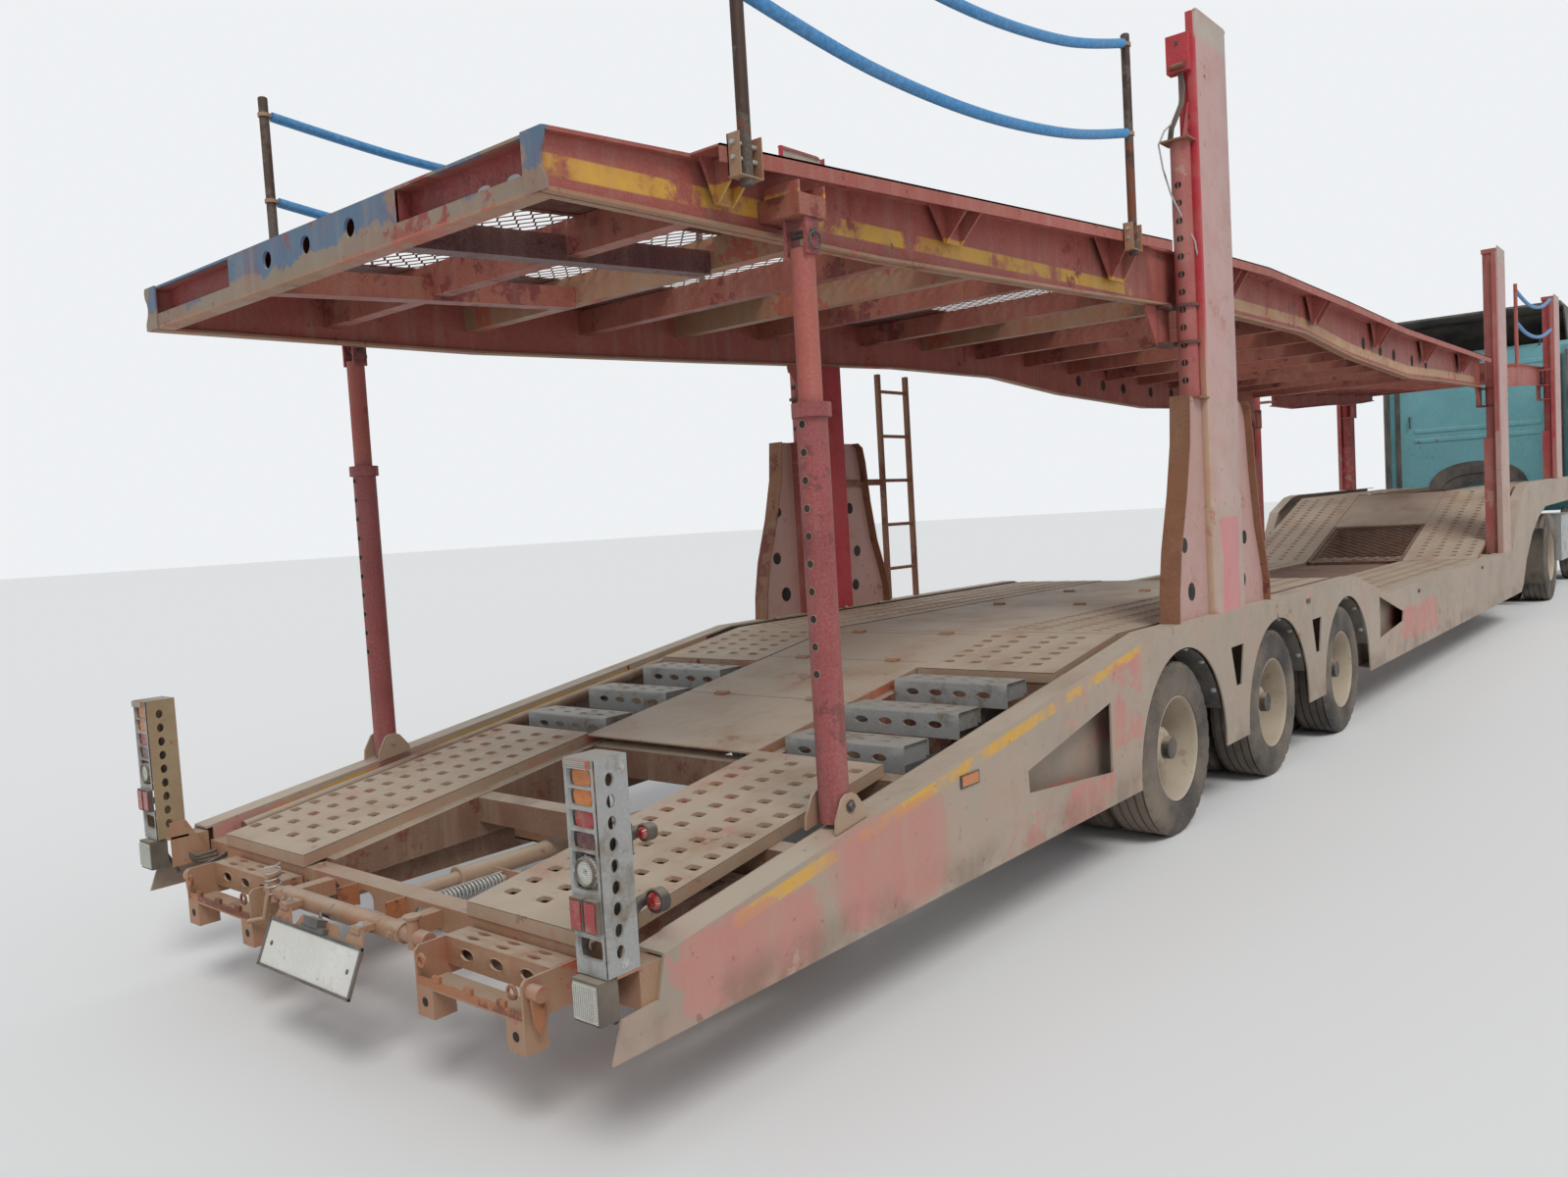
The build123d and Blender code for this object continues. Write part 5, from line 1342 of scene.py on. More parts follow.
# %% Lamp columns
COLUMN_OUT, COLUMN_IN = 1.248, 1.146
COLUMN_MIDDLE = (COLUMN_OUT + COLUMN_IN) / 2
COLUMN_FOOT, COLUMN_TOP, COLUMN_DEPTH = 0.508, 1.005, 0.100
WINDOWS = (
    # height, height of the opening
    (0.962, 0.036), (0.917, 0.036), (0.867, 0.038), (0.818, 0.038), (0.770, 0.040),
    (0.724, 0.034), (0.570, 0.044),
)
columns = Shape()
for side in (-1, 1):
    skin_finish = 3 if side > 0 else 0
    for skin_y, outward in ((COLUMN_OUT, 1), (COLUMN_IN, -1)):
        heights = [0.559 + i * 0.0493 for i in range(9)]

        def wall(s, z, rise, skin_y=skin_y, outward=outward, side=side):
            return at(s), side * (skin_y + outward * (rise + 0.0003)), z
        holed_sheet(columns, wall, (0.045,), heights, (0.003, COLUMN_DEPTH, COLUMN_FOOT,
                                                       COLUMN_TOP), (0.0125, 0.0165), lip=0.0,
                    depth=0.005, flare=1.08, finish=skin_finish)

    def rear_face(y, z, rise, side=side):
        return at(-0.0004) - rise, side * y, z
    edges = [COLUMN_FOOT] + [(a[0] + b[0]) / 2 for a, b in zip(WINDOWS[::-1], WINDOWS[-2::-1])]
    edges += [COLUMN_TOP]
    for (z, tall), low, high in zip(WINDOWS[::-1], edges, edges[1:]):
        holed_cell(columns, rear_face, (COLUMN_IN, COLUMN_OUT, low, high),
                   (COLUMN_MIDDLE, z, 0.0425, tall * 0.56), lip=0.0, depth=0.008, flare=1.03,
                   square=0.8)
    for y in (COLUMN_IN, COLUMN_OUT - 0.014):
        columns.block((COLUMN_DEPTH - 0.002, COLUMN_DEPTH), across(side, y, y + 0.014),
                      (COLUMN_FOOT, COLUMN_TOP))
    columns.block((0.0, COLUMN_DEPTH), across(side, COLUMN_IN, COLUMN_OUT),
                  (COLUMN_TOP - 0.002, COLUMN_TOP))
    columns.block((0.030, COLUMN_DEPTH + 0.006), across(side, COLUMN_IN - 0.006, COLUMN_OUT),
                  (COLUMN_FOOT - 0.008, COLUMN_FOOT), 1)
    columns.plate([(0.044, 0.400), (0.176, 0.400), (0.150, 0.470), (0.100, 0.560), (0.044, 0.560)],
                  across(side, COLUMN_IN - 0.006, COLUMN_IN), 1)
    columns.block((0.1006, 0.1796), across(side, COLUMN_IN + 0.006, COLUMN_OUT - 0.006),
                  (0.400, 0.500), 1)
    for s, z in ((0.055, 0.530), (0.080, 0.975)):
        columns.bolt((at(s), side * COLUMN_OUT, z), (0, side, 0), 0.008, 0.006, 2)
columns.make("perforated_columns", ["galvanised_steel", "rusty_steel", "bright_zinc",
                                    "ochre_zinc"], "trailer",
             "galvanised_steel", replaces=["lamp_columns"])

# %% Lamps
RED_GLASS, AMBER_GLASS, DARK_GLASS, WHITE_GLASS, LAMP_STEEL, RUBBER = range(6)
AFT = (1, 0, 0)
LAMP_STACK = (
    # height, finish
    (0.962, AMBER_GLASS), (0.917, AMBER_GLASS), (0.867, RED_GLASS), (0.818, DARK_GLASS),
)
SIDE_MARKERS = (
    # station, height
    (5.20, 0.870), (7.90, 0.700), (10.40, 0.700),
)
ARM_LAMPS = (
    # station, height, radius of the marker lamps on rubber arms
    (0.165, 0.804, 0.021), (0.192, 0.632, 0.029),
)


def column_lamps(shape, side):
    """The stack behind the column's windows, from the ribbed lamp down to the reversing lamp."""
    y = side * COLUMN_MIDDLE
    for z, finish in LAMP_STACK:
        shape.lathe([(0.0, 0.0), (-0.004, 0.012), (-0.003, 0.030), (0.004, 0.038), (0.020, 0.038)],
                    (at(0.010), y, z), AFT, 32, finish, ROUND, closed=False)
    shape.lathe([(0.0, 0.0), (-0.010, 0.010), (-0.008, 0.028), (0.0, 0.036), (0.020, 0.036)],
                (at(0.008), y, 0.746), AFT, 36, WHITE_GLASS, ROUND, closed=False)
    shape.lathe([(0.0, 0.026), (-0.006, 0.030), (0.0, 0.036)], (at(0.001), y, 0.746), AFT, 36,
                RUBBER, ROUND, closed=False)
    shape.block((-0.010, 0.050), (y - 0.040, y + 0.040), (0.984, 1.004), LAMP_STEEL)
    for z in [0.986 + i * 0.002 for i in range(9)]:
        shape.block((-0.012, -0.010), (y - 0.037, y + 0.037), (z, z + 0.001), WHITE_GLASS)
    for a, b in ((-0.046, -0.003), (0.003, 0.046)):
        shape.block((-0.014, -0.0004), (y + a, y + b), (0.612, 0.688), RUBBER)
        shape.block((-0.017, -0.014), (y + a + 0.004, y + b - 0.004), (0.617, 0.683), RED_GLASS)
    shape.block((-0.022, 0.036), (y - 0.044, y + 0.046), (0.404, 0.504), RUBBER)
    shape.block((-0.026, -0.022), (y - 0.038, y + 0.040), (0.411, 0.497), WHITE_GLASS)
    for a in [y - 0.034 + i * 0.007 for i in range(11)]:
        shape.block((-0.0285, -0.026), (a, a + 0.003), (0.415, 0.493), WHITE_GLASS)


def side_lamps(shape, side):
    """The amber lamp on the side member and three small rubber markers further forward."""
    shape.block((1.500, 1.615), across(side, 1.2504, 1.2545), (0.617, 0.660), RUBBER)
    shape.block((1.508, 1.607), across(side, 1.252, 1.256), (0.622, 0.655), AMBER_GLASS)
    for s, z in SIDE_MARKERS:
        shape.block((s, s + 0.060), across(side, 1.251, 1.255), (z, z + 0.026), RUBBER)


def arm_lamp(shape, s, z, r):
    """A round marker lamp, red to the rear and white to the front, on a bent rubber arm."""
    x, y = at(s), -1.252 + r
    shape.block((0.100, 0.104), (-1.2470, -1.190), (z - 0.036, z + 0.036), RUBBER)
    shape.tube([(at(0.102), -1.205, z - 0.010), (x - 0.024, y + r + 0.012, z - 0.006),
                (x + 0.016, y + r + 0.010, z), (x + 0.022, y, z)], [0.024, 0.015, 0.014, 0.012],
               14, RUBBER)
    for profile, finish, smooth in (
            (((-0.026, 0.0), (-0.024, r * 0.5), (-0.014, r * 0.78)), RED_GLASS, ROUND),
            (((-0.014, r * 0.78), (-0.016, r * 0.88), (-0.014, r)), RUBBER, ROUND),
            (((-0.014, r), (0.014, r)), RUBBER, FLAT),
            (((0.014, r), (0.018, r * 0.7), (0.019, 0.0)), WHITE_GLASS, ROUND)):
        shape.lathe(profile, (x, y, z), AFT, 28, finish, smooth, closed=False)


lamps = Shape()
for side in (-1, 1):
    column_lamps(lamps, side)
    side_lamps(lamps, side)
for row in ARM_LAMPS:
    arm_lamp(lamps, *row)
lamps.make("tail_lamps", ["lamp_lens", "amber_lens", "dark_red_lens", "white_lens", "rusty_steel",
                          "black_rubber"], "trailer", "lamp_lens", replaces=["rear_lamps"])

# %% Lamp wires
wires = Shape()
for side in (-1, 1):
    y = side * COLUMN_MIDDLE
    for i, offset in enumerate((-0.020, 0.0, 0.022)):
        wires.tube([(at(0.060), y + offset, 0.93 - 0.05 * i), (at(0.072), y + offset, 0.72),
                    (at(0.084), y + offset * 0.4, 0.56), (at(0.080), y - side * 0.030, 0.46),
                    (at(0.120), y - side * 0.070, 0.40 + 0.012 * i),
                    (at(0.176), y - side * 0.110, 0.405 + 0.016 * i)], 0.006, 8)
    wires.tube([(at(0.030), y, 0.47), (at(0.075), y - side * 0.020, 0.37),
                (at(0.130), y - side * 0.090, 0.385), (at(0.184), y - side * 0.170, 0.430)],
               0.008, 8)
wires.make("lamp_wires", ["black_rubber"], "trailer", "black_rubber")

# %% [markdown]
# ## Number plate
# Under the bumper tube leans a folded sheet with V-shaped cut-outs. It carries the blank number
# plate in a dark frame, with a small lamp on top. Everything here is drawn on the plate's own
# slope, so one function turns widths and heights on the plate into points of the frame.

# %% Number plate
WHITE, FRAME, GLASS, SCREW, FLAP, WIRE = range(6)
PLATE_HALF_WIDTH, PLATE_TALL = 0.262, 0.1425
PLATE_FOOT = Vector((at(-0.0865), 0, 0.2685))
PLATE_UP = Vector((0.0540, 0, 0.1320)).normalized()
PLATE_OUT = Vector((-PLATE_UP.z, 0, PLATE_UP.x))
FLAP_OUTLINE = ((-0.230, 0.004), (-0.262, 0.120), (-0.230, 0.186), (-0.178, 0.186),
                (-0.136, 0.128), (-0.098, 0.176), (0.098, 0.176), (0.136, 0.128), (0.178, 0.186),
                (0.230, 0.186), (0.262, 0.120), (0.230, 0.004))


def on_plate(y, z, rise):
    return PLATE_FOOT + PLATE_UP * z + PLATE_OUT * rise + Vector((0, y, 0))


def plate_bar(shape, y0, y1, z0, z1, low, high, finish):
    """A block on the plate's slope between two heights off it."""
    corners = ((y0, z0), (y1, z0), (y1, z1), (y0, z1))
    points = [on_plate(y, z, h) for h in (low, high) for y, z in corners]
    shape.add(points, [(3, 2, 1, 0), (4, 5, 6, 7), (0, 1, 5, 4), (1, 2, 6, 5), (2, 3, 7, 6),
                       (3, 0, 4, 7)], finish)


plate = Shape()
plate.slab(FLAP_OUTLINE, lambda y, z, h: on_plate(y, z, -0.010 + h), 0.004, FLAP)
W, T = PLATE_HALF_WIDTH, PLATE_TALL
for bar in (
        # left, right, foot, top, back, front, finish
        (-W, W, 0.0, T, -0.006, -0.003, FRAME),
        (-0.254, 0.254, 0.006, 0.136, -0.003, -0.001, WHITE),
        (-W, W, 0.0, 0.008, -0.003, 0.003, FRAME), (-W, W, 0.134, T, -0.003, 0.003, FRAME),
        (-W, 0.009 - W, 0.0, T, -0.003, 0.003, FRAME),
        (W - 0.009, W, 0.0, T, -0.003, 0.003, FRAME),
        (-0.062, 0.062, 0.143, 0.158, -0.006, 0.012, FRAME),
        (-0.040, 0.040, 0.158, 0.180, -0.010, 0.022, FRAME),
        (-0.034, 0.034, 0.156, 0.159, -0.006, 0.018, GLASS)):
    plate_bar(plate, *bar)
for y in (-0.216, 0.216):
    plate.bolt(on_plate(y, 0.071, -0.001), PLATE_OUT, 0.005, 0.003, FRAME)
plate.tube([on_plate(0.0, 0.170, -0.010), (at(0.000), 0.020, 0.440), (at(0.060), 0.060, 0.398)],
           0.005, 8, WIRE)
for y in (-0.225, 0.180):
    plate.block((-0.022, 0.0296), (y, y + 0.045), (0.428, 0.446), FLAP)
    plate.bolt((at(0.000), y + 0.022, 0.446), (0, 0, 1), 0.009, 0.008, SCREW)
plate.make("plate_and_frame", ["plate_white", "dark_plastic", "white_lens", "bright_zinc",
                               "rusty_steel", "black_rubber"],
           "trailer", "plate_white", replaces=["number_plate"])

# %% [markdown]
# ## Bumper tube and what shows between the tracks
# A stub, a spring latch and an L-shaped handle stand at the bumper tube's ends. In the opening
# before the first centre plate a light tube with a collar runs forward from the crossbeam, a coil
# spring lies beside it, and a tie joins the main beams.

# %% Crossbeam and bumper tube
BUMPER_X, BUMPER_Z, BUMPER_REACH = 0.059, 0.429, 0.450
crossbeam = Shape()
BEAM_LOW, BEAM_HIGH, BEAM_REAR, BEAM_FRONT = 0.390, 0.464, 0.186, 0.260
ARCHES = (0.285, 0.095, -0.225)
SPRING, ARCH_HALF, ARCH_RISE = 0.420, 0.046, 0.026
outline = [(-1.155, BEAM_LOW), (-1.155, BEAM_HIGH), (1.155, BEAM_HIGH), (1.155, BEAM_LOW)]
for y in ARCHES:
    outline.append((y + ARCH_HALF, BEAM_LOW))
    for k in range(13):
        turn = math.pi * k / 12
        outline.append((y + ARCH_HALF * math.cos(turn), SPRING + ARCH_RISE * math.sin(turn)))
    outline.append((y - ARCH_HALF, BEAM_LOW))
crossbeam.slab(outline, lambda y, z, h: (at(BEAM_REAR) + h, y, z), 0.008)
crossbeam.block((BEAM_REAR + 0.008, BEAM_FRONT), (-1.155, 1.155), (BEAM_HIGH - 0.008, BEAM_HIGH))
for side in (-1, 1):
    crossbeam.block((BEAM_REAR + 0.008, BEAM_FRONT), across(side, 0.500, 1.155),
                    (BEAM_LOW, BEAM_LOW + 0.008))
    crossbeam.block((BUMPER_X, BEAM_REAR), across(side, 0.270, 0.320), (0.404, 0.454))
    crossbeam.block((0.120, BEAM_REAR), across(side, 0.1296, 0.1396), (0.396, 0.4635), 1)
    crossbeam.tube([(at(BUMPER_X), side * 0.330, BUMPER_Z), (at(BUMPER_X), side * BUMPER_REACH,
                                                              BUMPER_Z)], 0.022, 24)
crossbeam.tube([(at(BUMPER_X), -0.335, BUMPER_Z), (at(BUMPER_X), 0.335, BUMPER_Z)], 0.029, 32)
crossbeam.make("crossbeam_and_bumper", ["rusty_steel", "orange_rust"], "trailer", "rusty_steel",
               replaces=["rear_crossbeam"])

# %% Latches, springs and tubes
LATCH_X, LATCH_Y = at(0.052), 0.405
LIGHT_TUBE_Y, ROD_Y = 0.040, -0.105
latch = Shape()


def coil(axis, centre, radius, pitch, steps, wire):
    """A coil spring from centre along Z or X; a step is a twelfth of a turn."""
    path = []
    for turn in [i * math.pi / 6 for i in range(steps)]:
        c, s, rise = radius * math.cos(turn), radius * math.sin(turn), pitch * turn
        shift = (c, s, rise) if axis == "Z" else (rise, c, s)
        path.append([p + q for p, q in zip(centre, shift)])
    latch.tube(path, wire, 6, 1)


for y in (-0.385, 0.405):
    latch.tube([(LATCH_X, y, 0.3985), (LATCH_X, y, 0.480)], 0.017, 20, 0)
    latch.lathe([(0.0, 0.0), (0.002, 0.024), (0.010, 0.026), (0.014, 0.0)], (LATCH_X, y, 0.480),
                (0, 0, 1), 20, 0, ROUND, closed=False)
coil("Z", (LATCH_X, LATCH_Y, 0.415), 0.023, 0.0075 / 2.2, 60, 0.0026)
latch.tube([(LATCH_X, LATCH_Y, 0.470), (at(0.028), LATCH_Y, 0.420), (at(0.020), 0.420, 0.350),
            (at(-0.020), 0.450, 0.345)], 0.008, 12, 0)
for y in (-0.300, -0.200, 0.240, 0.300):
    latch.bolt((at(0.030), y, 0.430), (-1, 0, 0), 0.011, 0.008, 0)
for y in (-0.420, 0.420):
    latch.bolt((at(0.220), y, 0.4646), (0, 0, 1), 0.012, 0.009, 0)
latch.tube([(at(0.2545), LIGHT_TUBE_Y, 0.408), (at(0.480), LIGHT_TUBE_Y, 0.410)], 0.022, 24, 2)
latch.tube([(at(0.480), LIGHT_TUBE_Y, 0.410), (at(1.500), LIGHT_TUBE_Y, 0.416)], 0.031, 28, 2)
latch.lathe([(0.0, 0.031), (0.0, 0.038), (0.014, 0.038), (0.014, 0.031)],
            (at(0.478), LIGHT_TUBE_Y, 0.410), AFT, 28, 2, FLAT)
coil("X", (at(0.300), ROD_Y, 0.412), 0.022, 0.0022, 220, 0.0035)
latch.tube([(at(0.2545), ROD_Y, 0.412), (at(0.620), ROD_Y, 0.412)], 0.011, 14, 1)
for stations, span, heights in (
        ((0.560, 0.566), (-0.200, -0.050), (0.386, 0.440)),
        ((0.560, 0.566), (-0.3996, -0.200), (0.386, 0.420)),
        ((0.980, 1.060), (-0.3996, 0.3996), (0.372, 0.378)),
        ((0.980, 0.986), (-0.3996, 0.3996), (0.372, 0.4415)),
        ((1.054, 1.060), (-0.3996, 0.3996), (0.372, 0.4415))):
    latch.block(stations, span, heights)
latch.make("bumper_latches", ["rusty_steel", "bright_zinc", "track_steel"], "trailer",
           "rusty_steel")

# %% [markdown]
# ## Pull-out ramps
# Each ramp is a shallow tray under the track. Its end is an open box: behind a notched rear bar
# lies a recess, closed in front by a riser with three oval holes, and above the riser starts the
# slotted top. The legs are square tubes with a bolt hole, and a cross tube with a lug ends beside
# the lamp column.

# %% Sizes of the ramps
RAMP_INNER, RAMP_OUTER, RAMP_LENGTH, RAMP_SHEET = 0.465, 0.930, 1.350, 0.008
RAMP_FLOOR, RAMP_CROWN = 0.330, 0.437
RISER, BOX_END = 0.0945, 0.178
LEG_WIDE, LEG_DEEP, LEG_FOOT = 0.075, 0.070, 0.250
CROSS_TUBE_S, CROSS_TUBE_Z = 0.026, 0.405
SHEET_INNER, SHEET_OUTER = RAMP_INNER + 0.009, RAMP_OUTER - 0.009
RISER_HOLES = [(RAMP_INNER + RAMP_OUTER) / 2 + i * 0.130 for i in (-1, 0, 1)]
RAMP_STEEL, ORANGE, SIDE_STEEL, LEG_HOLE_SHADE = range(4)
print("the ramps are", RAMP_LENGTH, "m long")


# %% Pull-out ramps
def ramp_frame(ramp, side):
    """Side plates, floors, end bars and the two legs, whose bolt holes are drawn as painted shade.
    """
    for y in (RAMP_INNER, RAMP_OUTER - RAMP_SHEET):
        ramp.plate([(0.0, RAMP_FLOOR), (0.0, 0.425), (0.012, RAMP_CROWN), (0.176, RAMP_CROWN),
                    (BOX_END, 0.385), (RAMP_LENGTH, 0.385), (RAMP_LENGTH, RAMP_FLOOR)],
                   across(side, y, y + RAMP_SHEET), SIDE_STEEL)
    span = across(side, RAMP_INNER + RAMP_SHEET, RAMP_OUTER - RAMP_SHEET)
    for stations, heights, finish in (
            ((RISER, RAMP_LENGTH), (0.360, 0.366), RAMP_STEEL),
            ((RAMP_LENGTH - RAMP_SHEET, RAMP_LENGTH), (RAMP_FLOOR, 0.385), RAMP_STEEL),
            ((0.0004, 0.0940), (RAMP_FLOOR, RAMP_FLOOR + 0.006), RAMP_STEEL),
            ((0.0004, 0.0084), (RAMP_FLOOR + 0.0064, 0.356), ORANGE)):
        ramp.block(stations, span, heights, finish)
    for y in (RAMP_INNER, RAMP_OUTER - LEG_WIDE):
        ramp.block((0.0, LEG_DEEP), across(side, y, y + LEG_WIDE),
                   (LEG_FOOT, RAMP_FLOOR - 0.0003), SIDE_STEEL)
        # Each bolt hole is a dark disc of painted shade on the leg's face.
        ramp.lathe([(0.0006, 0.0), (0.0006, 0.013)], (at(0.0), side * (y + LEG_WIDE / 2), 0.292),
                   (-1, 0, 0), 18, LEG_HOLE_SHADE, FLAT, closed=False)


def ramp_sheets(ramp, side):
    """The slotted floor, the riser with three oval holes and the slotted top over the box."""
    holed_sheet(ramp, lambda s, y, rise: (at(s), side * y, 0.3663 + rise),
                [0.205 + i * 0.055 for i in range(20)], [0.520 + i * 0.071 for i in range(6)],
                (BOX_END, 1.336, SHEET_INNER, SHEET_OUTER), (0.010, 0.022), lip=0.004,
                depth=0.0001, flare=1.4)
    holed_sheet(ramp, lambda y, z, rise: (at(RISER) - rise, side * y, z), RISER_HOLES, (0.400,),
                (SHEET_INNER, SHEET_OUTER, 0.3665, 0.4310), (0.030, 0.016), lip=0.002,
                depth=0.004, flare=1.15)
    ramp.block((0.0946, 0.0985), across(side, SHEET_INNER, SHEET_OUTER), (0.4290, 0.4372))
    holed_sheet(ramp, lambda s, y, rise: (at(s), side * y, 0.4373 + rise), (0.117, 0.153),
                RISER_HOLES, (0.0946, 0.174, SHEET_INNER, SHEET_OUTER), (0.009, 0.028),
                lip=0.002, depth=0.005, flare=1.2)


def ramp_fittings(ramp, side):
    """The cross tube with its lug, two sockets and the notches of the rear bar."""
    low, high = across(side, RAMP_OUTER + 0.0005, 0.9735)
    x = at(CROSS_TUBE_S)
    ramp.tube([(x, low, CROSS_TUBE_Z), (x, high, CROSS_TUBE_Z)], 0.020, 20)
    ramp.slab([(x - 0.020, 0.396), (x + 0.020, 0.396), (x + 0.014, 0.330), (x, 0.300),
               (x - 0.014, 0.330)], lambda a, z, h: (a, side * 0.953 - 0.004 + h, z), 0.008,
              ORANGE)
    for y in (RAMP_INNER + LEG_WIDE / 2, RAMP_OUTER - LEG_WIDE / 2):
        ramp.lathe([(0.0, 0.012), (0.0, 0.021), (0.006, 0.019), (0.006, 0.012)],
                   (at(-0.0005), side * y, CROSS_TUBE_Z), (-1, 0, 0), 20, ORANGE, FLAT)
    for y in (0.560, 0.700, 0.840):
        ramp.block((-0.002, 0.008), across(side, y - 0.016, y + 0.016), (0.356, 0.372), ORANGE)


for hand, side in (("right", -1), ("left", 1)):
    ramp = Shape()
    for part in (ramp_frame, ramp_sheets, ramp_fittings):
        part(ramp, side)
    ramp.make(f"pull_out_ramp_{hand}", ["rusty_steel", "orange_rust", "rusty_steel",
                                        "hole_shade_black"],
              f"ramp_{hand}", "rusty_steel", replaces=[f"ramp_{hand}"])

# %% [markdown]
# ## Centre plates
# Between the tracks lie loose plates, lifted for the axles and valves below. They meet at seams
# that do not fall at even steps, and at each seam two small rusty hinge tabs stand up. A rim is
# folded down along both sides of every plate.

# %% Centre plates
PLATE_SPANS = ((1.405, 1.992), (1.998, 2.557), (2.563, 3.008), (3.014, 3.058), (3.064, 4.400),
               (4.406, 5.300), (5.306, 6.247), (6.253, 6.990), (12.180, 13.230))
HINGE_SEAMS = (1.995, 2.560, 3.011, 4.403, 5.303)
PLATE_HALF = 0.451
centre = Shape()
for start, end in PLATE_SPANS:
    ribbon(centre, DECK_LINE, start, end, 0.006, (-PLATE_HALF, PLATE_HALF), 0.003)
    for side in (-1, 1):
        ribbon(centre, DECK_LINE, start, end, 0.030, across(side, PLATE_HALF - 0.004, PLATE_HALF),
               0.0091, 1)
for s in HINGE_SEAMS:
    z = height_on(DECK_LINE, s)
    for y in (-0.300, 0.210):
        centre.box((at(s) - 0.022, y, z - 0.006), (at(s) + 0.022, y + 0.060, z + 0.004), 1)
        centre.tube([(at(s), y - 0.004, z + 0.004), (at(s), y + 0.064, z + 0.004)], 0.007, 12, 1)
centre.make("centre_plates_hinged", ["track_steel", "rusty_steel"], "trailer",
            "track_steel", replaces=["centre_plates"])

# %% [markdown]
# ## Deck props
# Between the two decks stand telescopic props. The sleeve has a row of pin holes down its rear
# side, it stands on a wide ear with an eye and a pin, and the tube that slides out of it ends in
# a fork below the loading deck. A ring hangs on the fork's pin.

# %% Deck props
SLEEVE_RADIUS, SLEEVE_WALL, TUBE_RADIUS = 0.045, 0.006, 0.035
SLEEVE_FOOT, SLEEVE_TOP, COLLAR = 0.640, 1.832, 0.040
UP = (0, 0, 1)
EAR = ((-0.070, 0.622), (-0.066, 0.660), (-0.034, 0.716), (-0.014, 0.726), (0.014, 0.726),
       (0.034, 0.716), (0.072, 0.670), (0.078, 0.644))
sleeves = Shape()
forks = Shape()
for side in (-1, 1):
    x, y = at(PROP_STATION), side * PROP_Y
    for foot, tall, inner, outer in (
            (SLEEVE_FOOT, SLEEVE_TOP - SLEEVE_FOOT, SLEEVE_RADIUS - SLEEVE_WALL, SLEEVE_RADIUS),
            (SLEEVE_TOP - COLLAR, COLLAR, SLEEVE_RADIUS, SLEEVE_RADIUS + 0.012)):
        sleeves.lathe([(0.0, inner), (0.0, outer), (tall, outer), (tall, inner)], (x, y, foot),
                      UP, 36)
    # The pin holes are discs of painted shade, each with a pale lip.
    for i in range(10):
        hole_shade_disc(sleeves, (x - SLEEVE_RADIUS + 0.0006, y, 1.070 + i * 0.078), (-1, 0, 0), 0.011,
                  2, 1)
    for inner in (PROP_Y - 0.058, PROP_Y + 0.050):
        sleeves.plate([(PROP_STATION + s, z) for s, z in EAR], across(side, inner, inner + 0.008),
                      1)
    sleeves.tube([(x, side * (PROP_Y - 0.064), 0.690), (x, side * (PROP_Y + 0.066), 0.690)],
                 0.011, 14, 1)
    sleeves.bolt((x, side * (PROP_Y + 0.058), 0.690), (0, side, 0), 0.013, 0.011, 3)
    forks.lathe([(0.0, 0.0), (0.0, TUBE_RADIUS), (1.248, TUBE_RADIUS), (1.248, 0.0)],
                (x, y, 1.010), UP, 32, 0, ROUND)
    for a in (-0.040, 0.030):
        forks.box((x - 0.030, y + a, 2.240), (x + 0.030, y + a + 0.010, 2.340), 1)
    forks.tube([(x, y - 0.048, 2.300), (x, y + 0.048, 2.300)], 0.011, 14, 2)
    hoop = [(x + 0.024 * math.cos(t), y - 0.048, 2.276 + 0.024 * math.sin(t))
            for t in [2 * math.pi * i / 20 for i in range(21)]]
    forks.tube(hoop, 0.003, 8, 2)
sleeves.make("prop_sleeves_drilled", ["sleeve_paint", "track_steel", "hole_shade_black",
                                      "axle_black"], "trailer", "post_paint",
             replaces=["prop_sleeves"])
forks.make("prop_tubes_forked", ["deck_paint", "sleeve_paint", "axle_black"], "upper_deck",
           "bare_rusty_tube", replaces=["prop_tubes"])

# %% [markdown]
# ## Guard posts
# The rope rails hang on slim round posts beside the walkway. Each stands in a folded bracket
# under the wing's edge, with a bolt through it, and has an eye for each rope.

# %% Guard posts
GUARD_RADIUS, GUARD_TALL = 0.018, 0.790
guards = Shape()
for side in (-1, 1):
    for station, inward in zip(GUARD_STATIONS, (1, -1)):
        x, y = at(station), side * GUARD_Y
        z = height_on(UPPER_LINE, station)
        guards.lathe([(-0.105, 0.0), (-0.105, GUARD_RADIUS), (GUARD_TALL - 0.004, GUARD_RADIUS),
                      (GUARD_TALL, GUARD_RADIUS - 0.005), (GUARD_TALL, 0.0)], (x, y, z), UP, 24)
        for start, end, outer, low, high in (
                (-0.045, 0.045, WING_OUTER + 0.004, -0.084, 0.022),
                (-0.045, -0.041, HALF_WIDTH, -0.084, 0.022),
                (0.041, 0.045, HALF_WIDTH, -0.084, 0.022),
                (-0.045, 0.045, HALF_WIDTH, -0.088, -0.084)):
            guards.block((station + start, station + end), across(side, WING_OUTER, outer),
                         (z + low, z + high), 1)
        for drop in (0.040, 0.002):
            guards.tube([(x - 0.052, y, z - drop), (x + 0.052, y, z - drop)], 0.006, 12, 2)
        for points in ROPE_ROUTES.values():
            height = points[0][1] if inward > 0 else points[-1][1]
            guards.lathe([(-0.007, GUARD_RADIUS), (-0.007, GUARD_RADIUS + 0.005),
                          (0.007, GUARD_RADIUS + 0.005), (0.007, GUARD_RADIUS)], (x, y, height),
                         UP, 24, 1)
            guards.tube([(x + inward * GUARD_RADIUS, y, height),
                         (x + inward * (GUARD_RADIUS + 0.0105), y, height)], 0.008, 12, 1)
guards.make("guard_rail_posts", ["bare_rusty_tube", "rusty_steel", "bright_zinc"], "upper_deck",
            "post_paint", replaces=["guard_posts"])

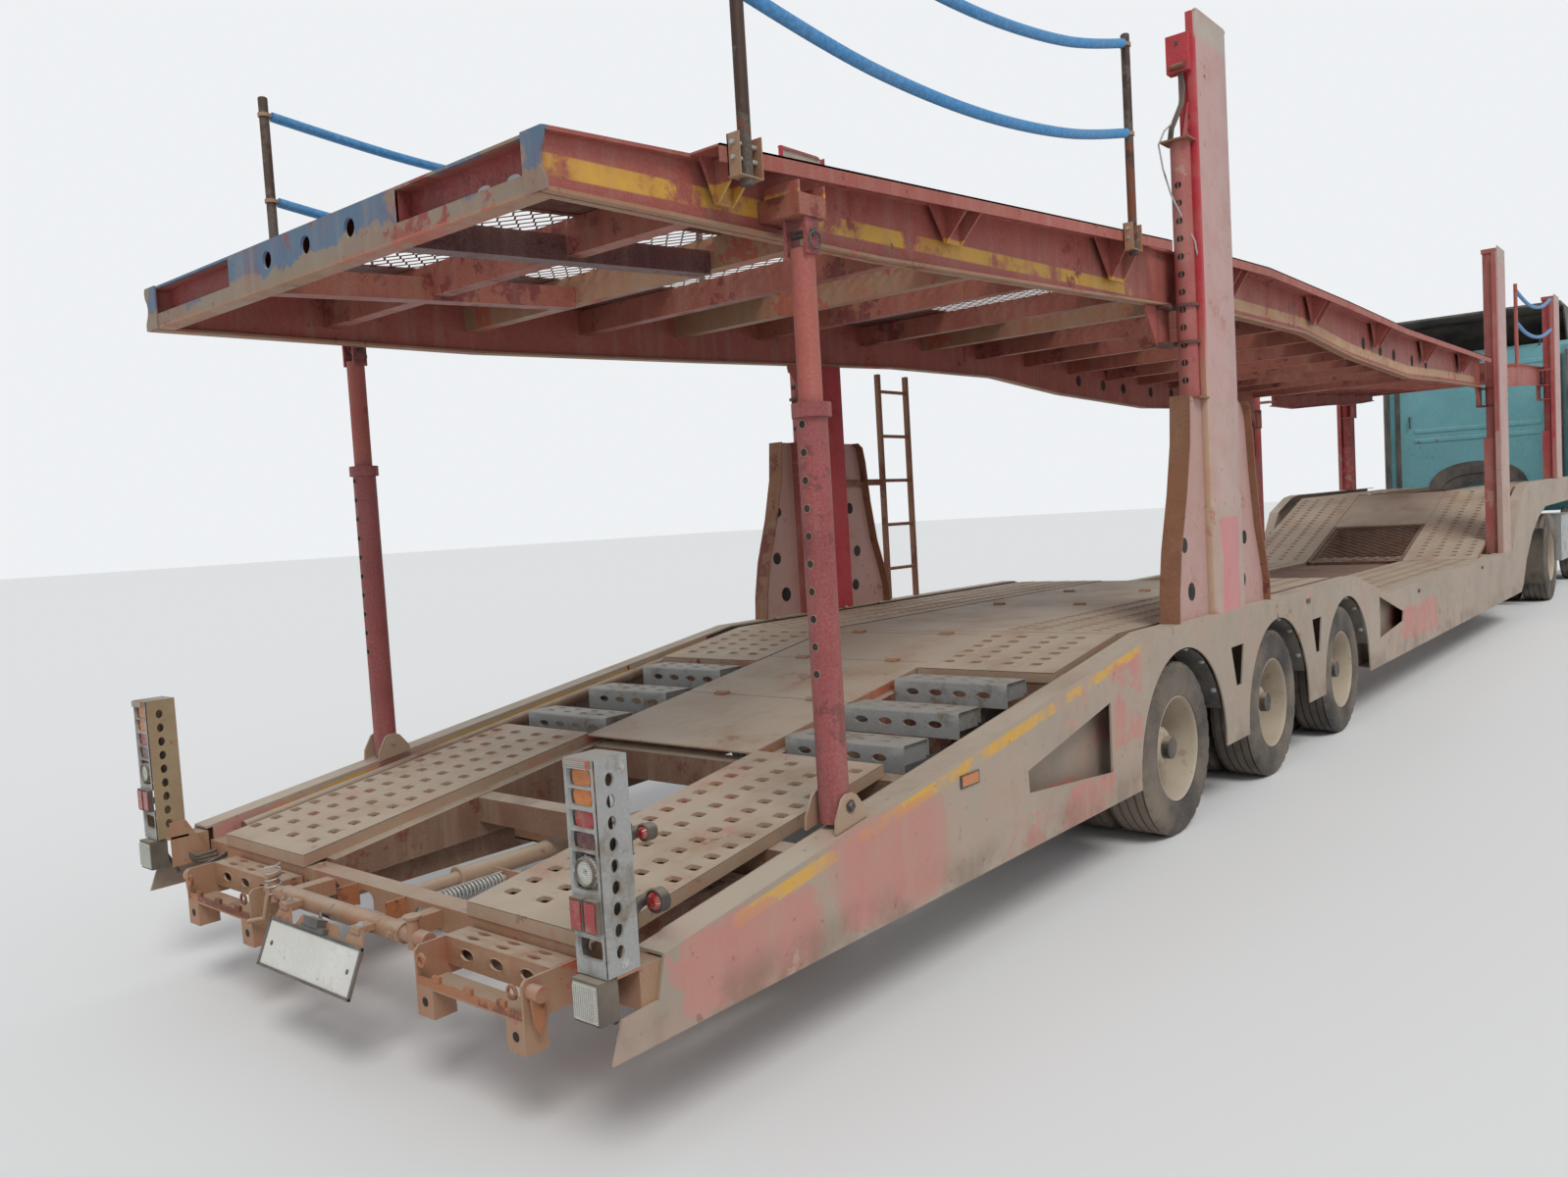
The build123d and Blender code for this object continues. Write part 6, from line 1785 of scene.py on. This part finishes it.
# %% [markdown]
# ## Expanded metal
# The decks' floors are expanded metal: sheet slit and pulled until it opens into diamonds. Each
# strand runs across the deck in a zigzag and meets its neighbour at every corner. The strands
# stand a little on edge, so the floor looks open from one side and closed from the other.

# %% Expanded metal floors
BORDER = 0.030


def expanded_floor(name, node, body, line, span, half, drop, pitch, wave, strand):
    """Zigzag strands across a deck; drop is from the deck line to the strands' middle."""
    floor = Shape()
    start, end = span
    knots = 2 * round(half / wave) + 1
    step = 2 * half / (knots - 1)
    swing = pitch / 2 - strand / 2
    for i in range(int((end - start) / pitch) - 1):
        middle = start + (i + 1) * pitch
        points = []
        for k in range(knots):
            s = middle + (swing if (i + k) % 2 else -swing)
            z = height_on(line, s) - drop
            y = -half + k * step
            points += [(at(s - strand / 2), y, z + 0.001), (at(s + strand / 2), y, z + 0.004),
                       (at(s + strand / 2), y, z + 0.001), (at(s - strand / 2), y, z - 0.002)]
        faces = [(4 * k + j, 4 * k + (j + 1) % 4, 4 * k + 4 + (j + 1) % 4, 4 * k + 4 + j)
                 for k in range(knots - 1) for j in range(4)]
        floor.add(points, faces)
    for first, last, y0, y1 in ((start, end, -half, BORDER - half),
                                (start, end, half - BORDER, half),
                                (start, start + BORDER, -half, half),
                                (end - BORDER, end, -half, half)):
        bends = [s for s, z in along_line(line, first, last)]
        for low, high in zip(bends, bends[1:]):
            ribbon(floor, line, low, high, 0.007, (y0, y1), drop - 0.002)
    floor.make(name, ["expanded_metal"], body, "expanded_metal", replaces=[node])


FLOORS = (
    # piece, node it replaces, body, line, span, half width, drop, pitch, wave, strand
    ("upper_mesh", "upper_deck_mesh", "upper_deck", UPPER_LINE, (0.180, 11.500), 0.471, 0.0055,
     0.036, 0.040, 0.008),
    ("head_mesh", "head_deck_floor", "head_deck", HEAD_LINE, (12.240, 16.540), 0.471, 0.0055,
     0.044, 0.048, 0.009),
    ("low_deck_mesh", "mesh_floor", "trailer", DECK_LINE, (7.010, 11.090), 0.450, 0.0330,
     0.040, 0.050, 0.010),
    ("slope_mesh", "centre_plates", "trailer", DECK_LINE, (11.110, 12.170), 0.450, 0.0060,
     0.040, 0.050, 0.010),
)
for row in FLOORS:
    expanded_floor(*row)

head_tracks = Shape()
for side in (-1, 1):
    ribbon(head_tracks, HEAD_LINE, 12.242, 16.538, 0.006, across(side, 0.472, 1.0435), 0.002)
head_tracks.make("head_deck_tracks", ["deck_paint"], "head_deck", "deck_paint")

# %% [markdown]
# ## Back of the cab
# The cab's rear wall is pressed with long flat ribs. Low in its middle is a dark moulding, arched
# over the engine tunnel, with a smaller arch inside it. Two black handles stand beside the ribs,
# and the air deflector rests on struts.

# %% Back of the cab
CAB_BACK, ARCH_FOOT = 17.850, 1.215
cab_back = Shape()
for z, half in ((3.120, 0.860), (2.960, 0.860), (2.260, 0.800), (2.120, 0.800)):
    cab_back.plate([(CAB_BACK - 0.010, z - 0.022), (CAB_BACK - 0.010, z + 0.022),
                    (CAB_BACK + 0.001, z + 0.034), (CAB_BACK + 0.001, z - 0.034)], (-half, half))
for y in (-1.02, 1.02):
    cab_back.block((CAB_BACK - 0.014, CAB_BACK + 0.001), (y - 0.030, y + 0.030), (1.300, 3.180), 1)


def arch(outer, inner, rise, high):
    """Half a ring of moulding on the rear wall: half width outside and inside, and its height."""
    turns = [math.pi * k / 20 for k in range(21)]
    ring = [(outer * math.cos(t), ARCH_FOOT + high * math.sin(t) ** 0.6) for t in turns]
    ring += [(inner * math.cos(t), ARCH_FOOT + (high - outer + inner) * math.sin(t) ** 0.6)
             for t in reversed(turns)]
    cab_back.slab(ring, lambda y, z, h: (at(CAB_BACK) - h, y, z), rise, 1)


arch(0.640, 0.470, 0.034, 0.560)
arch(0.470, 0.300, 0.020, 0.390)
cab_back.block((CAB_BACK - 0.012, CAB_BACK + 0.001), (-0.900, 0.900), (1.200, 1.330), 1)
for y in (-0.860, 0.860):
    cab_back.tube([(at(CAB_BACK), y, 2.330), (at(CAB_BACK) - 0.035, y, 2.340),
                   (at(CAB_BACK) - 0.035, y, 2.480), (at(CAB_BACK), y, 2.490)], 0.011, 12, 1)
    cab_back.tube([(at(CAB_BACK) + 0.06, y * 0.9, 3.300), (at(CAB_BACK) - 0.06, y * 0.95, 3.420)],
                  0.012, 12, 1)
cab_back.make("cab_rear_wall", ["cab_teal", "dark_plastic"], "cab",
              "cab_teal")

# %% [markdown]
# ## Arch liners
# Behind the openings of the side members sit black liners over the trailer's wheels, each held by
# six bolts along its edge.

# %% Arch liners
AXLE_STATIONS, ARCH_RADIUS, ARCH_HEIGHT = (3.400, 4.710, 6.020), 0.496, 0.340
liners = Shape()
for side in (-1, 1):
    for axle in AXLE_STATIONS:
        rows = []
        for k in range(19):
            turn = math.radians(18 + 8 * k)
            s, z = axle + ARCH_RADIUS * math.cos(turn), ARCH_HEIGHT + ARCH_RADIUS * math.sin(turn)
            rows += [(at(s), side * 1.102, z), (at(s), side * 1.234, z)]
        liners.add(rows, [(2 * k, 2 * k + 1, 2 * k + 3, 2 * k + 2) for k in range(18)], 0, ROUND)
        for k in range(6):
            turn = math.radians(30 + 24 * k)
            reach = ARCH_RADIUS - 0.002
            liners.bolt((at(axle + reach * math.cos(turn)), side * 1.215,
                         ARCH_HEIGHT + reach * math.sin(turn)),
                        (-math.cos(turn), 0, -math.sin(turn)), 0.010, 0.008, 1)
liners.make("arch_liners", ["dark_plastic", "bright_zinc"], "trailer",
            "dark_plastic")
